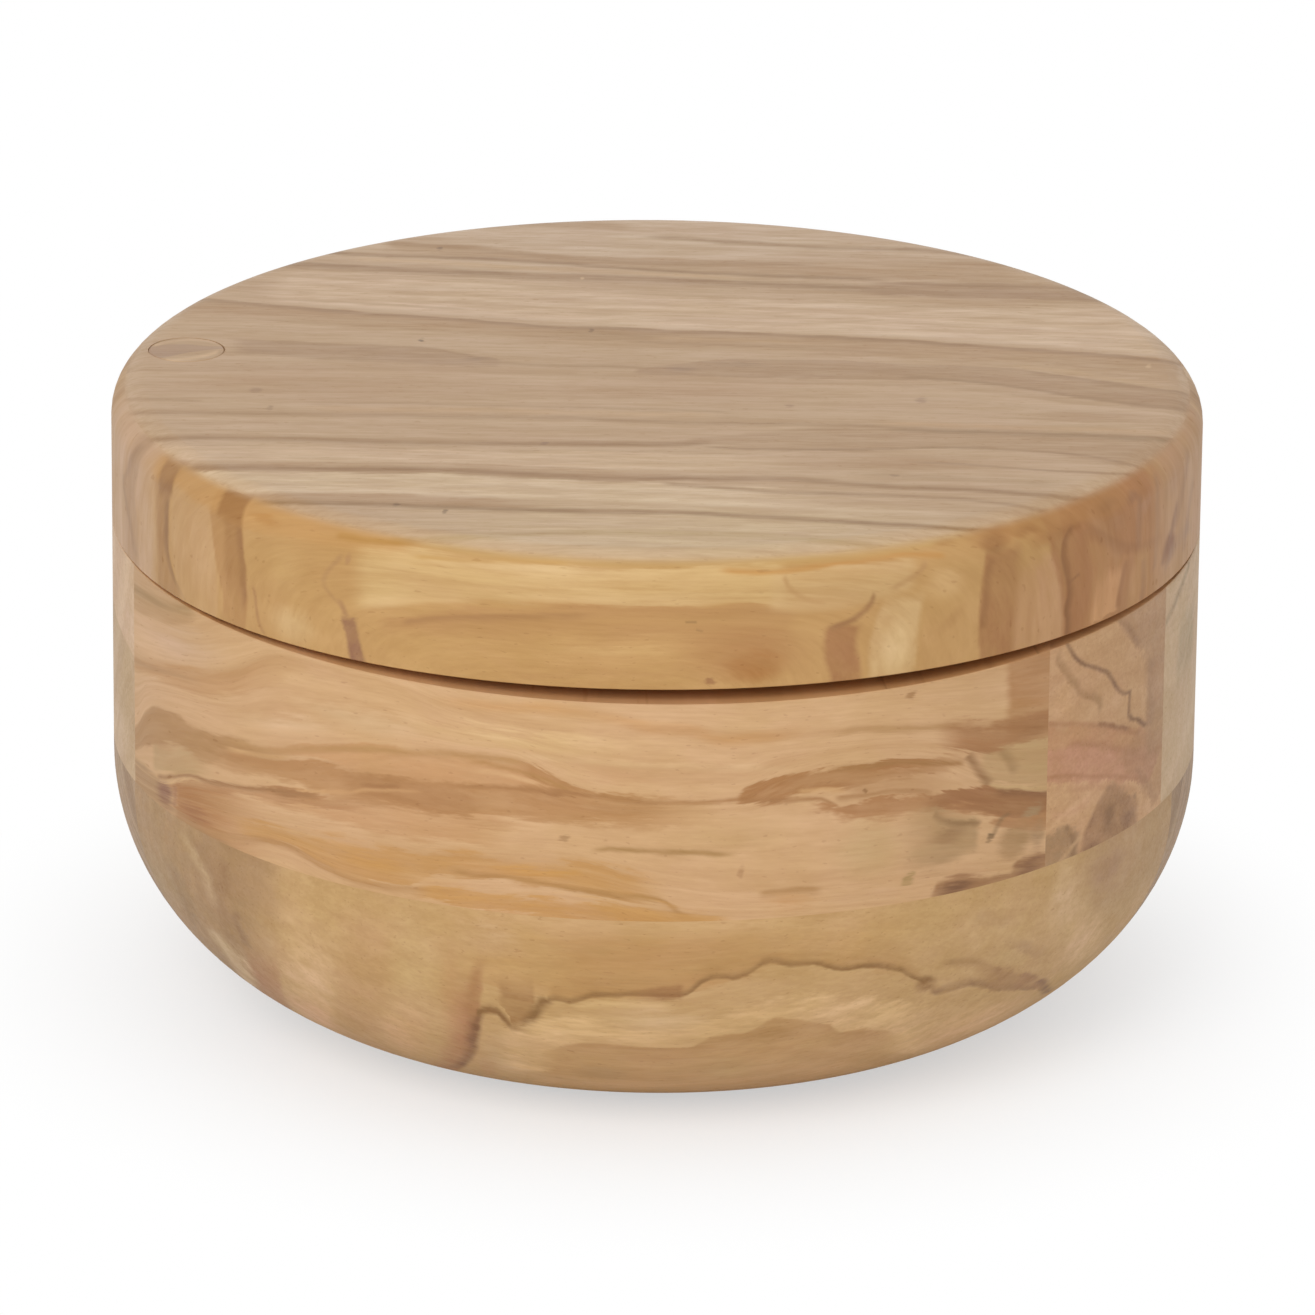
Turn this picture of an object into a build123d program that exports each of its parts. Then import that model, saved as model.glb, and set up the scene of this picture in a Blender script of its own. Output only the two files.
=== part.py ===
from build123d import *

import os
from math import asin, degrees

os.makedirs("parts", exist_ok=True)

# Salt keeper of glued olive wood: a round bowl with a thick disc lid that swings aside on one upright
# screw at its left edge. Millimetres. The origin is the centre of the foot, +Z is up and -Y is the front.

# Lid
diameter = 120.0            # lid and bowl are turned to one size
lid_thickness = 15.5
lid_edge_rounding = 3.8     # top edge, worn round to the hand
lid_seat_gap = 0.1          # air between lid and rim along the line where they all but meet

# Bowl
bowl_height = 54.2          # foot to rim
base_layer_thickness = 29.0 # height of the level glue joint between the two layers of boards
wall_thickness = 14.6
floor_thickness = 9.0
floor_corner_radius = 16.0  # sweep from the inside wall to the floor
rim_rounding = 1.0          # inner edge of the rim
edge_ease = 0.1             # sanded arris on the outer edge of the rim and the lid's lower edge
turn_under_height = 27.4    # below this the straight wall turns under to the foot
turn_under_depth = 32.1     # half width of the ellipse that the wall follows
turn_under_overrun = 0.85   # the ellipse would bottom out this far below the foot

# The wood has cupped across its grain, so the lid and the rim part at the front and the back
lid_cup = 0.85              # rise of the lid's underside at its edge
rim_cup = 0.72              # drop of the rim at its edge
cup_turn = 8.0              # degrees from X to the line where lid and rim meet

# Boards glued edge to edge in two layers, each of three strips that run almost along X
strip_width = 38.5          # the middle strip of either layer
base_joint_setback = 19.4   # from the centre forwards to the lower layer's front joint
base_turn = 0.0             # degrees from X to the lower layer's strips
block_joint_setback = 21.3  # from the centre forwards to the upper layer's front joint
block_turn = -1.8           # degrees from X to the upper layer's strips
end_block_length = 16.5     # short block at the right end of the upper front strip

# Pivot: a pan-head wood screw sunk in the lid, under a plug of the same wood
screw_diameter = 4.5
screw_bite = 20.0           # length in the bowl's wall
screw_point_length = 4.0
screw_head_diameter = 7.6
screw_head_height = 2.6
screw_head_rounding = 1.0
screw_slot_width = 1.1
screw_slot_depth = 1.3
washer_thickness = 0.8
plug_diameter = 8.5
plug_thickness = 5.0
plug_chamfer = 0.4          # lower edge, to enter the counterbore
plug_ease = 0.2             # sanded arris round its flush face
plug_head_space = 0.5       # air between the plug and the screw's head

# Catch: a disc magnet in the rim and its twin in the lid, across from the pivot
magnet_diameter = 8.0
magnet_thickness = 3.0
magnet_chamfer = 0.3
magnet_setback = 0.3        # each magnet lies this far below its face

# Clearances, on the radius for round fits
running_clearance = 0.05    # screw and washer in the lid, which turns about them
glue_clearance = 0.02       # plug, screw and magnets in their own holes

# Sizes that follow
outer_radius = diameter / 2
hollow_radius = outer_radius - wall_thickness
lid_underside = bowl_height + lid_seat_gap
lid_top = lid_underside + lid_thickness
wall_middle = outer_radius - wall_thickness / 2
screw_radius = screw_diameter / 2
washer_radius = plug_diameter / 2 - running_clearance
counterbore_radius = plug_diameter / 2 + glue_clearance
washer_underside = lid_top - plug_thickness - plug_head_space - screw_head_height - washer_thickness
head_underside = washer_underside + washer_thickness
counterbore_floor = washer_underside - running_clearance
spare = 5.0                 # cutting tools reach this far past what they cut

# The pivot and the catch sit in the middle of the wall, across from each other, and both stand
# a few degrees off the line where lid and rim meet
pivot_bearing = Rot(0, 0, -cup_turn - 0.5)
catch_place = pivot_bearing * Pos(wall_middle, 0, 0)
pivot_place = pivot_bearing * Pos(-wall_middle, 0, 0)


def standing_cylinder(radius, foot, top):
    """An upright cylinder about the origin, from one height to another."""
    return Pos(0, 0, foot) * Cylinder(radius, top - foot, align=(Align.CENTER, Align.CENTER, Align.MIN))


def cup_cutter(height, cup, side):
    """What the cupped wood lacks: the space between a level face and a face bent across the grain.

    side is +1 where the wood lies above the bent face and -1 where it lies below.
    """
    bend_radius = (outer_radius**2 + cup**2) / (2 * cup)
    reach = outer_radius + spare
    across = Plane(origin=(0, 0, height), x_dir=Vector(0, 1, 0), z_dir=Vector(1, 0, 0))
    block = Rectangle(2 * reach, 2 * spare)
    section = block - Pos(0, side * bend_radius) * Circle(bend_radius)
    return Rot(0, 0, cup_turn) * extrude(across * section, amount=reach, both=True)


def round_edges(solid, height, edge_radius):
    """The edges near one height that run round the bowl's axis at one radius."""
    level = [edge for edge in solid.edges() if abs(edge.center(CenterOf.BOUNDING_BOX).Z - height) < spare / 2]
    off_axis = {edge: Vector((edge @ 0).X, (edge @ 0).Y).length for edge in level}
    return [edge for edge in level if abs(off_axis[edge] - edge_radius) < edge_ease / 2]


def bowl_blank():
    """The bowl as turned and sanded, before it is told apart into the boards it was glued from."""
    ellipse_height = turn_under_height + turn_under_overrun
    foot_angle = degrees(asin(turn_under_height / ellipse_height))
    ellipse_centre = (outer_radius - turn_under_depth, turn_under_height)
    with BuildSketch(Plane.XZ) as section:
        with BuildLine():
            under = EllipticalCenterArc(
                ellipse_centre, turn_under_depth, ellipse_height, start_angle=-foot_angle, arc_size=foot_angle
            )
            Polyline(under @ 1, (outer_radius, bowl_height), (0, bowl_height), (0, 0), under @ 0)
        make_face()
    blank = revolve(section.sketch, Axis.Z)

    hollow = standing_cylinder(hollow_radius, floor_thickness, bowl_height + spare)
    hollow = fillet(hollow.edges().sort_by(Axis.Z)[0], floor_corner_radius)
    blank = blank - hollow - cup_cutter(bowl_height, rim_cup, -1)
    blank = fillet(round_edges(blank, bowl_height, hollow_radius), rim_rounding)
    blank = chamfer(round_edges(blank, bowl_height, outer_radius), edge_ease)

    pilot_foot = bowl_height - screw_bite - screw_point_length
    pilot_hole = standing_cylinder(screw_radius + glue_clearance, pilot_foot, bowl_height + spare)
    magnet_floor = bowl_height - magnet_setback - magnet_thickness
    magnet_pocket = standing_cylinder(magnet_diameter / 2 + glue_clearance, magnet_floor, bowl_height + spare)
    return blank - pivot_place * pilot_hole - catch_place * magnet_pocket


def glue_joint(facing, setback, turn):
    """An upright glue joint that faces a direction, as far from the centre as its setback.

    The joint and its direction are both turned about the bowl's axis.
    """
    direction = facing.rotate(Axis.Z, turn)
    return Plane(origin=direction * setback, z_dir=direction)


def strips(layer, joint_setback, turn):
    """The front, middle and rear strips of one layer, parted at its two upright glue joints."""
    rearwards = Vector(0, 1, 0)
    front_joint = glue_joint(rearwards, -joint_setback, turn)
    rear_joint = glue_joint(rearwards, strip_width - joint_setback, turn)
    behind = split(layer, front_joint, keep=Keep.TOP)
    front = split(layer, front_joint, keep=Keep.BOTTOM)
    middle = split(behind, rear_joint, keep=Keep.BOTTOM)
    return front, middle, split(behind, rear_joint, keep=Keep.TOP)


def bowl_boards():
    """The boards and blocks of the bowl, parted along their glue joints."""
    blank = bowl_blank()
    level_joint = Plane.XY.offset(base_layer_thickness)
    base = strips(split(blank, level_joint, keep=Keep.BOTTOM), base_joint_setback, base_turn)
    front_strip, middle_strip, rear_strip = strips(
        split(blank, level_joint, keep=Keep.TOP), block_joint_setback, block_turn
    )
    end_joint = glue_joint(Vector(1, 0, 0), outer_radius - end_block_length, block_turn)
    left_block, right_block = middle_strip.solids().sort_by(Axis.X)
    return {
        "base_front_board": base[0],
        "base_middle_board": base[1],
        "base_rear_board": base[2],
        "front_block": split(front_strip, end_joint, keep=Keep.BOTTOM),
        "front_end_block": split(front_strip, end_joint, keep=Keep.TOP),
        "left_block": left_block,
        "right_block": right_block,
        "rear_block": rear_strip,
    }


def lid():
    """The disc, cupped underneath, with its pivot hole, the plug's counterbore and the magnet's pocket."""
    disc = standing_cylinder(outer_radius, lid_underside, lid_top)
    disc = fillet(disc.edges().sort_by(Axis.Z)[-1], lid_edge_rounding)
    disc = disc - cup_cutter(lid_underside, lid_cup, 1)
    disc = chamfer(round_edges(disc, lid_underside, outer_radius), edge_ease)

    pivot_hole = standing_cylinder(screw_radius + running_clearance, lid_underside - spare, lid_top)
    counterbore = standing_cylinder(counterbore_radius, counterbore_floor, lid_top + spare)
    pocket_radius = magnet_diameter / 2 + glue_clearance
    magnet_pocket = standing_cylinder(
        pocket_radius, lid_underside - spare, lid_underside + magnet_setback + magnet_thickness
    )
    return disc - pivot_place * (pivot_hole + counterbore) - catch_place * magnet_pocket


def pivot_plug():
    """The plug that hides the screw, flush with the lid and eased round its face."""
    plug = standing_cylinder(plug_diameter / 2, lid_top - plug_thickness, lid_top)
    plug = chamfer(plug.edges().sort_by(Axis.Z)[0], plug_chamfer)
    return pivot_place * chamfer(plug.edges().sort_by(Axis.Z)[-1], plug_ease)


def pivot_screw():
    """The pan-head screw: shank through the lid, point in the bowl's wall, cross slots in its head."""
    point = bowl_height - screw_bite - screw_point_length
    head_radius = screw_head_diameter / 2
    head_top = head_underside + screw_head_height
    with BuildSketch(Plane.XZ) as section:
        with BuildLine():
            shank = [(0, point), (screw_radius, point + screw_point_length), (screw_radius, head_underside)]
            head = [(head_radius, head_underside), (head_radius, head_top), (0, head_top)]
            Polyline(*shank, *head, close=True)
        make_face()
    screw = revolve(section.sketch, Axis.Z)
    screw = fillet(screw.edges().filter_by(GeomType.CIRCLE).sort_by(Axis.Z)[-1], screw_head_rounding)
    slot = Pos(0, 0, head_top) * Box(screw_head_diameter * 0.6, screw_slot_width, 2 * screw_slot_depth)
    return pivot_place * (screw - slot - Rot(0, 0, 90) * slot)


def pivot_washer():
    """The washer under the screw's head, which the lid turns against."""
    ring = standing_cylinder(washer_radius, washer_underside, head_underside)
    return pivot_place * (ring - standing_cylinder(screw_radius + glue_clearance, 0, lid_top))


def catch_magnet(foot):
    """A disc magnet with both edges chamfered, standing on its pocket's floor."""
    disc = standing_cylinder(magnet_diameter / 2, foot, foot + magnet_thickness)
    return catch_place * chamfer(disc.edges().filter_by(GeomType.CIRCLE), magnet_chamfer)


pieces = bowl_boards()
pieces["lid_disc"] = lid()
pieces["pivot_plug"] = pivot_plug()
pieces["pivot_screw"] = pivot_screw()
pieces["pivot_washer"] = pivot_washer()
pieces["rim_magnet"] = catch_magnet(bowl_height - magnet_setback - magnet_thickness)
pieces["lid_magnet"] = catch_magnet(lid_underside + magnet_setback)

for name, piece in pieces.items():
    export_step(piece, f"parts/{name}.step")
    print(name, round(piece.volume, 1), "mm3")
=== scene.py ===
import math

import bpy
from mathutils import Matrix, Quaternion, Vector

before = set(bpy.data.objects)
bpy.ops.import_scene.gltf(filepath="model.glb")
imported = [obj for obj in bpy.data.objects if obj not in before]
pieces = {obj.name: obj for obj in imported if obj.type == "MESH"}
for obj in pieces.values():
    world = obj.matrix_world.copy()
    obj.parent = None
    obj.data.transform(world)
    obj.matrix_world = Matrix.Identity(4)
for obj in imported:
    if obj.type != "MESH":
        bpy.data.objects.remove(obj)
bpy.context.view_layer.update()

bpy.ops.object.select_all(action="DESELECT")


# --- Front base board -------------------------------------------------------------------------------
# The lower front board: olive wood, glued along its back edge and its top, then turned to the bowl's
# curve. Its face shows one dark spalt line over pale sapwood, and a mottled grey end at the left.

def srgb(red, green, blue):
    """A colour as the eye reads it, each part 0 to 255, as the linear colour that a shader takes."""
    parts = [part / 255 for part in (red, green, blue)]
    return tuple(((part + 0.055) / 1.055) ** 2.4 for part in parts) + (1.0,)


def feed(tree, value, socket):
    """Plugs another node's output into a socket, or sets the socket to a plain value."""
    if isinstance(value, bpy.types.NodeSocket):
        tree.links.new(value, socket)
    else:
        socket.default_value = value


def reckon(tree, operation, first, second=0.0, third=0.0):
    """One step of arithmetic."""
    step = tree.nodes.new("ShaderNodeMath")
    step.operation = operation
    for value, socket in zip((first, second, third), step.inputs):
        feed(tree, value, socket)
    return step.outputs[0]


def ease(tree, value, start, end, at_start=0.0, at_end=1.0):
    """A soft step from one level to another while value goes from start to end."""
    step = tree.nodes.new("ShaderNodeMapRange")
    step.interpolation_type = "SMOOTHSTEP"
    step.clamp = False
    for part, socket in zip((value, start, end, at_start, at_end), step.inputs):
        feed(tree, part, socket)
    return step.outputs[0]


def stain(tree, under, over, amount, way="MIX"):
    """One colour laid over another, as much as amount says."""
    # A mix node has sockets of each kind. Inputs 6 and 7 and output 2 are the ones for colours.
    mix = tree.nodes.new("ShaderNodeMix")
    mix.data_type = "RGBA"
    mix.blend_type = way
    feed(tree, amount, mix.inputs["Factor"])
    feed(tree, under, mix.inputs[6])
    feed(tree, over, mix.inputs[7])
    return mix.outputs[2]


def noise(tree, place, scale, detail=2.0, roughness=0.5):
    """Smooth noise at a place that is given in millimetres, so a scale of 1 has millimetre features."""
    field = tree.nodes.new("ShaderNodeTexNoise")
    feed(tree, place, field.inputs["Vector"])
    field.inputs["Scale"].default_value = scale
    field.inputs["Detail"].default_value = detail
    field.inputs["Roughness"].default_value = roughness
    return field


def reckon_place(tree, operation, first, second):
    """One step of arithmetic on a place, which has three numbers. SCALE takes one number as its second."""
    step = tree.nodes.new("ShaderNodeVectorMath")
    step.operation = operation
    feed(tree, first, step.inputs[0])
    feed(tree, second, step.inputs["Scale" if operation == "SCALE" else 1])
    return step.outputs[0]


def stretch(tree, place, along_x, along_y=1.0, along_z=1.0):
    """A place with each of its directions drawn out or pressed together."""
    return reckon_place(tree, "MULTIPLY", place, (along_x, along_y, along_z))


def distance_off_axis(tree, across, deep):
    """How far a place lies from an axis or a centre, by two distances square to each other."""
    squares = reckon(tree, "MULTIPLY_ADD", across, across, reckon(tree, "MULTIPLY", deep, deep))
    return reckon(tree, "SQRT", squares)


def route_through(tree, along, points):
    """Follows given points: gives the second number of the points for any value of the first."""
    node = tree.nodes.new("ShaderNodeFloatCurve")
    mapping = node.mapping
    mapping.extend = "HORIZONTAL"
    farthest = 200  # no point is set further out than this
    mapping.clip_min_x, mapping.clip_max_x = -farthest, farthest
    mapping.clip_min_y, mapping.clip_max_y = -farthest, farthest
    line = mapping.curves[0]
    line.points[0].location = points[0]
    line.points[1].location = points[-1]
    for point in points[1:-1]:
        line.points.new(*point)
    for point in line.points:
        point.handle_type = "AUTO_CLAMPED"
    mapping.update()
    feed(tree, along, node.inputs["Value"])
    return node.outputs[0]


def new_group(name, inputs, outputs):
    """An empty shader node group: its tree, its input node and its output node. Each input has a first
    value, three numbers for a place; the outputs are single numbers."""
    tree = bpy.data.node_groups.new(name, "ShaderNodeTree")
    for label, value in inputs.items():
        kind = "NodeSocketVector" if isinstance(value, tuple) else "NodeSocketFloat"
        tree.interface.new_socket(label, in_out="INPUT", socket_type=kind).default_value = value
    for label in outputs:
        tree.interface.new_socket(label, in_out="OUTPUT", socket_type="NodeSocketFloat")
    return tree, tree.nodes.new("NodeGroupInput"), tree.nodes.new("NodeGroupOutput")


# A vein of darker or lighter wood: it lies between a lower and an upper line, and fades at its ends.
vein_group, given, result = new_group(
    "wood_vein",
    {"Along": 0.0, "Across": 0.0, "Lower": 0.0, "Upper": 0.0, "Soft Below": 0.5, "Soft Above": 0.5,
     "Start": -200.0, "End": 200.0, "Fade In": 2.0, "Fade Out": 2.0, "Strength": 1.0, "Streaks": 1.0},
    ["Mask"],
)
over_lower = reckon(vein_group, "SUBTRACT", given.outputs["Across"], given.outputs["Lower"])
under_upper = reckon(vein_group, "SUBTRACT", given.outputs["Upper"], given.outputs["Across"])
soft_below = reckon(vein_group, "MULTIPLY", given.outputs["Soft Below"], -1.0)
soft_above = reckon(vein_group, "MULTIPLY", given.outputs["Soft Above"], -1.0)
mask = ease(vein_group, over_lower, soft_below, 0.0)
mask = reckon(vein_group, "MULTIPLY", mask, ease(vein_group, under_upper, soft_above, 0.0))
past_start = reckon(vein_group, "SUBTRACT", given.outputs["Along"], given.outputs["Start"])
mask = reckon(vein_group, "MULTIPLY", mask, ease(vein_group, past_start, 0.0, given.outputs["Fade In"]))
before_end = reckon(vein_group, "SUBTRACT", given.outputs["End"], given.outputs["Along"])
mask = reckon(vein_group, "MULTIPLY", mask, ease(vein_group, before_end, 0.0, given.outputs["Fade Out"]))
mask = reckon(vein_group, "MULTIPLY", mask, given.outputs["Strength"])
mask = reckon(vein_group, "MULTIPLY", mask, given.outputs["Streaks"])
feed(vein_group, mask, result.inputs["Mask"])

# A spot or cloud of colour: an ellipse with a soft edge.
spot_group, given, result = new_group(
    "wood_spot",
    {"Along": 0.0, "Across": 0.0, "Spot Along": 0.0, "Spot Across": 0.0, "Half Length": 1.0,
     "Half Width": 1.0, "Core": 0.3, "Strength": 1.0, "Streaks": 1.0},
    ["Mask"],
)
aside = reckon(spot_group, "SUBTRACT", given.outputs["Along"], given.outputs["Spot Along"])
aside = reckon(spot_group, "DIVIDE", aside, given.outputs["Half Length"])
above = reckon(spot_group, "SUBTRACT", given.outputs["Across"], given.outputs["Spot Across"])
above = reckon(spot_group, "DIVIDE", above, given.outputs["Half Width"])
reach = distance_off_axis(spot_group, aside, above)
mask = ease(spot_group, reach, given.outputs["Core"], 1.0, 1.0, 0.0)
mask = reckon(spot_group, "MULTIPLY", mask, given.outputs["Strength"])
feed(spot_group, reckon(spot_group, "MULTIPLY", mask, given.outputs["Streaks"]), result.inputs["Mask"])

# Growth rings about a heart that lies outside the board: how far a place is across the rings, in
# millimetres. Place is in millimetres, with the grain running along X.
rings_group, given, result = new_group(
    "growth_rings",
    {"Place": (0.0, 0.0, 0.0), "Heart": (0.0, 90.0, -60.0), "Waver": 9.0},
    ["Layer"],
)
place = given.outputs["Place"]
drift = noise(rings_group, stretch(rings_group, place, 0.5), scale=0.035, detail=2.0, roughness=0.45)
centred = reckon_place(rings_group, "SUBTRACT", drift.outputs["Color"], (0.5, 0.5, 0.5))
widest = reckon(rings_group, "MULTIPLY", given.outputs["Waver"], 2.0)
bent = reckon_place(rings_group, "SCALE", centred, widest)
from_heart = reckon_place(rings_group, "SUBTRACT", place, given.outputs["Heart"])
moved = reckon_place(rings_group, "ADD", stretch(rings_group, from_heart, 0.12), bent)
ring = rings_group.nodes.new("ShaderNodeVectorMath")
ring.operation = "LENGTH"
feed(rings_group, moved, ring.inputs[0])
feed(rings_group, ring.outputs["Value"], result.inputs["Layer"])

# Olive wood's own grain, the same in every board: growth bands by their layer, and fibres, clouds and
# pores by their place.
grain_group, given, result = new_group(
    "olive_grain",
    {"Place": (0.0, 0.0, 0.0), "Layer": 0.0, "Ring Scale": 0.16},
    ["Growth", "Veins", "Fibre", "Cloud", "Pores", "Streaks", "Relief"],
)
# All of it is drawn out along the grain, each kind by its own share of X. Noise keeps near 0.5, so each
# kind is eased between two levels on either side of where it sets in.
place = given.outputs["Place"]
wobble = noise(grain_group, stretch(grain_group, place, 0.25), scale=0.35, detail=2.0)
wobble = reckon(grain_group, "MULTIPLY_ADD", wobble.outputs["Fac"], 1.6, given.outputs["Layer"])
growth = grain_group.nodes.new("ShaderNodeTexNoise")
growth.noise_dimensions = "1D"
feed(grain_group, wobble, growth.inputs["W"])
feed(grain_group, given.outputs["Ring Scale"], growth.inputs["Scale"])
growth.inputs["Detail"].default_value = 4.0
growth.inputs["Roughness"].default_value = 0.6
growth_level = ease(grain_group, growth.outputs["Fac"], 0.3, 0.7)
feed(grain_group, growth_level, result.inputs["Growth"])
veins = grain_group.nodes.new("ShaderNodeValToRGB")
veins.color_ramp.interpolation = "EASE"
veins.color_ramp.elements[0].color = veins.color_ramp.elements[1].color = (0, 0, 0, 1)
vein_levels = [
    (0.27, 0.0), (0.315, 0.85), (0.335, 0.15), (0.5, 0.0), (0.6, 0.35), (0.655, 1.0), (0.67, 0.2),
    (0.82, 0.0), (0.9, 0.6), (0.93, 0.1),
]
for position, level in vein_levels:
    stop = veins.color_ramp.elements.new(position)
    stop.color = (level, level, level, 1)
feed(grain_group, growth_level, veins.inputs["Fac"])
broken = noise(grain_group, stretch(grain_group, place, 0.5), scale=0.06, detail=1.0)
broken = ease(grain_group, broken.outputs["Fac"], 0.36, 0.6)
feed(grain_group, reckon(grain_group, "MULTIPLY", veins.outputs["Color"], broken), result.inputs["Veins"])
coarse_fibre = noise(grain_group, stretch(grain_group, place, 0.07), scale=0.8, detail=3.0, roughness=0.62)
fine_fibre = noise(grain_group, stretch(grain_group, place, 0.1), scale=2.8, detail=2.0, roughness=0.6)
fibre = reckon(grain_group, "MULTIPLY", coarse_fibre.outputs["Fac"], 0.5)
fibre = reckon(grain_group, "MULTIPLY_ADD", fine_fibre.outputs["Fac"], 0.5, fibre)
fibre = ease(grain_group, fibre, 0.38, 0.62)
feed(grain_group, fibre, result.inputs["Fibre"])
cloud = noise(grain_group, stretch(grain_group, place, 0.5), scale=0.16, detail=4.0, roughness=0.6)
feed(grain_group, ease(grain_group, cloud.outputs["Fac"], 0.36, 0.64), result.inputs["Cloud"])
streaks = noise(grain_group, stretch(grain_group, place, 0.2), scale=0.6, detail=4.0, roughness=0.65)
streaks = ease(grain_group, streaks.outputs["Fac"], 0.32, 0.66)
feed(grain_group, streaks, result.inputs["Streaks"])
pores = noise(grain_group, stretch(grain_group, place, 0.3), scale=3.0, detail=1.0, roughness=0.5)
feed(grain_group, ease(grain_group, pores.outputs["Fac"], 0.66, 0.76), result.inputs["Pores"])
feed(grain_group, reckon(grain_group, "MULTIPLY_ADD", growth_level, 0.35, fibre), result.inputs["Relief"])


class Figure:
    """The figure of one face of a board: a ground colour, with bands, veins and spots laid on in turn.

    Points are given as they are read on the face, in millimetres. Each band, vein or spot has a colour
    and then its strength, 1 where it hides what lies under it. A turn, in degrees, measures along and
    across in a turned direction, for veins that run steeply. Turned by 90 the face is read upright:
    along is up it, and across is to the right.
    """

    def __init__(self, tree, calm, ragged, ground, streaks=1.0, soft=1.0):
        self.tree, self.colour, self.streaks, self.soft = tree, ground, streaks, soft
        self.ways = {(0, "calm"): calm, (0, "ragged"): ragged}

    def way(self, turn, kind):
        """Along and across in a turned direction, worked out once for each turn."""
        if (turn, kind) not in self.ways:
            (along, across), tree = self.ways[0, kind], self.tree
            if turn == 90:
                self.ways[turn, kind] = (across, along)
            else:
                lengthwise, crosswise = math.cos(math.radians(turn)), math.sin(math.radians(turn))
                risen = reckon(tree, "MULTIPLY", across, crosswise)
                shifted = reckon(tree, "MULTIPLY", along, -crosswise)
                self.ways[turn, kind] = (
                    reckon(tree, "MULTIPLY_ADD", along, lengthwise, risen),
                    reckon(tree, "MULTIPLY_ADD", across, lengthwise, shifted),
                )
        return self.ways[turn, kind]

    def turned(self, points, turn):
        """Points in a turned direction, in the order in which they come along it."""
        if turn == 90:
            return sorted((b, a) for a, b in points)
        lengthwise, crosswise = math.cos(math.radians(turn)), math.sin(math.radians(turn))
        return sorted((a * lengthwise + b * crosswise, b * lengthwise - a * crosswise) for a, b in points)

    def lay(self, group_tree, settings, colour):
        """Lays a colour on wherever a group's mask is. The group is made after all that feeds it."""
        group = self.tree.nodes.new("ShaderNodeGroup")
        group.node_tree = group_tree
        for label, value in settings.items():
            feed(self.tree, value, group.inputs[label])
        feed(self.tree, self.streaks, group.inputs["Streaks"])
        self.colour = stain(self.tree, self.colour, srgb(*colour), group.outputs["Mask"])

    def band(self, lower, upper, colour, strength=0.8, below=0.6, above=0.6, fade=(0.1, 0.1), turn=0):
        """A band between two lines. Below and above are how far its edges take to fade, and fade is
        how far its two ends do."""
        along, across = self.way(turn, "calm" if lower == upper else "ragged")
        lower, upper = self.turned(lower, turn), self.turned(upper, turn)
        lower_line = route_through(self.tree, along, lower)
        upper_line = lower_line if upper == lower else route_through(self.tree, along, upper)
        settings = {
            "Along": along,
            "Across": across,
            "Lower": lower_line,
            "Upper": upper_line,
            "Soft Below": below * self.soft,
            "Soft Above": above * self.soft,
            "Start": min(lower[0][0], upper[0][0]),
            "End": max(lower[-1][0], upper[-1][0]),
            "Fade In": fade[0],
            "Fade Out": fade[1],
            "Strength": strength,
        }
        self.lay(vein_group, settings, colour)

    def vein(self, points, colour, strength=0.8, width=0.5, below=None, above=None, fade=(1, 1), turn=0):
        """A thin vein along one line. Width is how far it takes to fade on either side of the line."""
        below, above = width if below is None else below, width if above is None else above
        self.band(points, points, colour, strength, below, above, fade, turn)

    def spot(self, place, size, colour, strength=0.8, core=0.1, turn=0):
        """A spot or cloud. Size is half its length and half its width; core is its solid part."""
        along, across = self.way(turn, "ragged")
        ((place_along, place_across),) = self.turned([place], turn)
        settings = {
            "Along": along,
            "Across": across,
            "Spot Along": place_along,
            "Spot Across": place_across,
            "Half Length": size[0],
            "Half Width": size[1],
            "Core": core,
            "Strength": strength,
        }
        self.lay(spot_group, settings, colour)


millimetres = 1000  # in a metre
turned_radius = 60.0  # of the bowl's wall and of the lid, in millimetres


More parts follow.
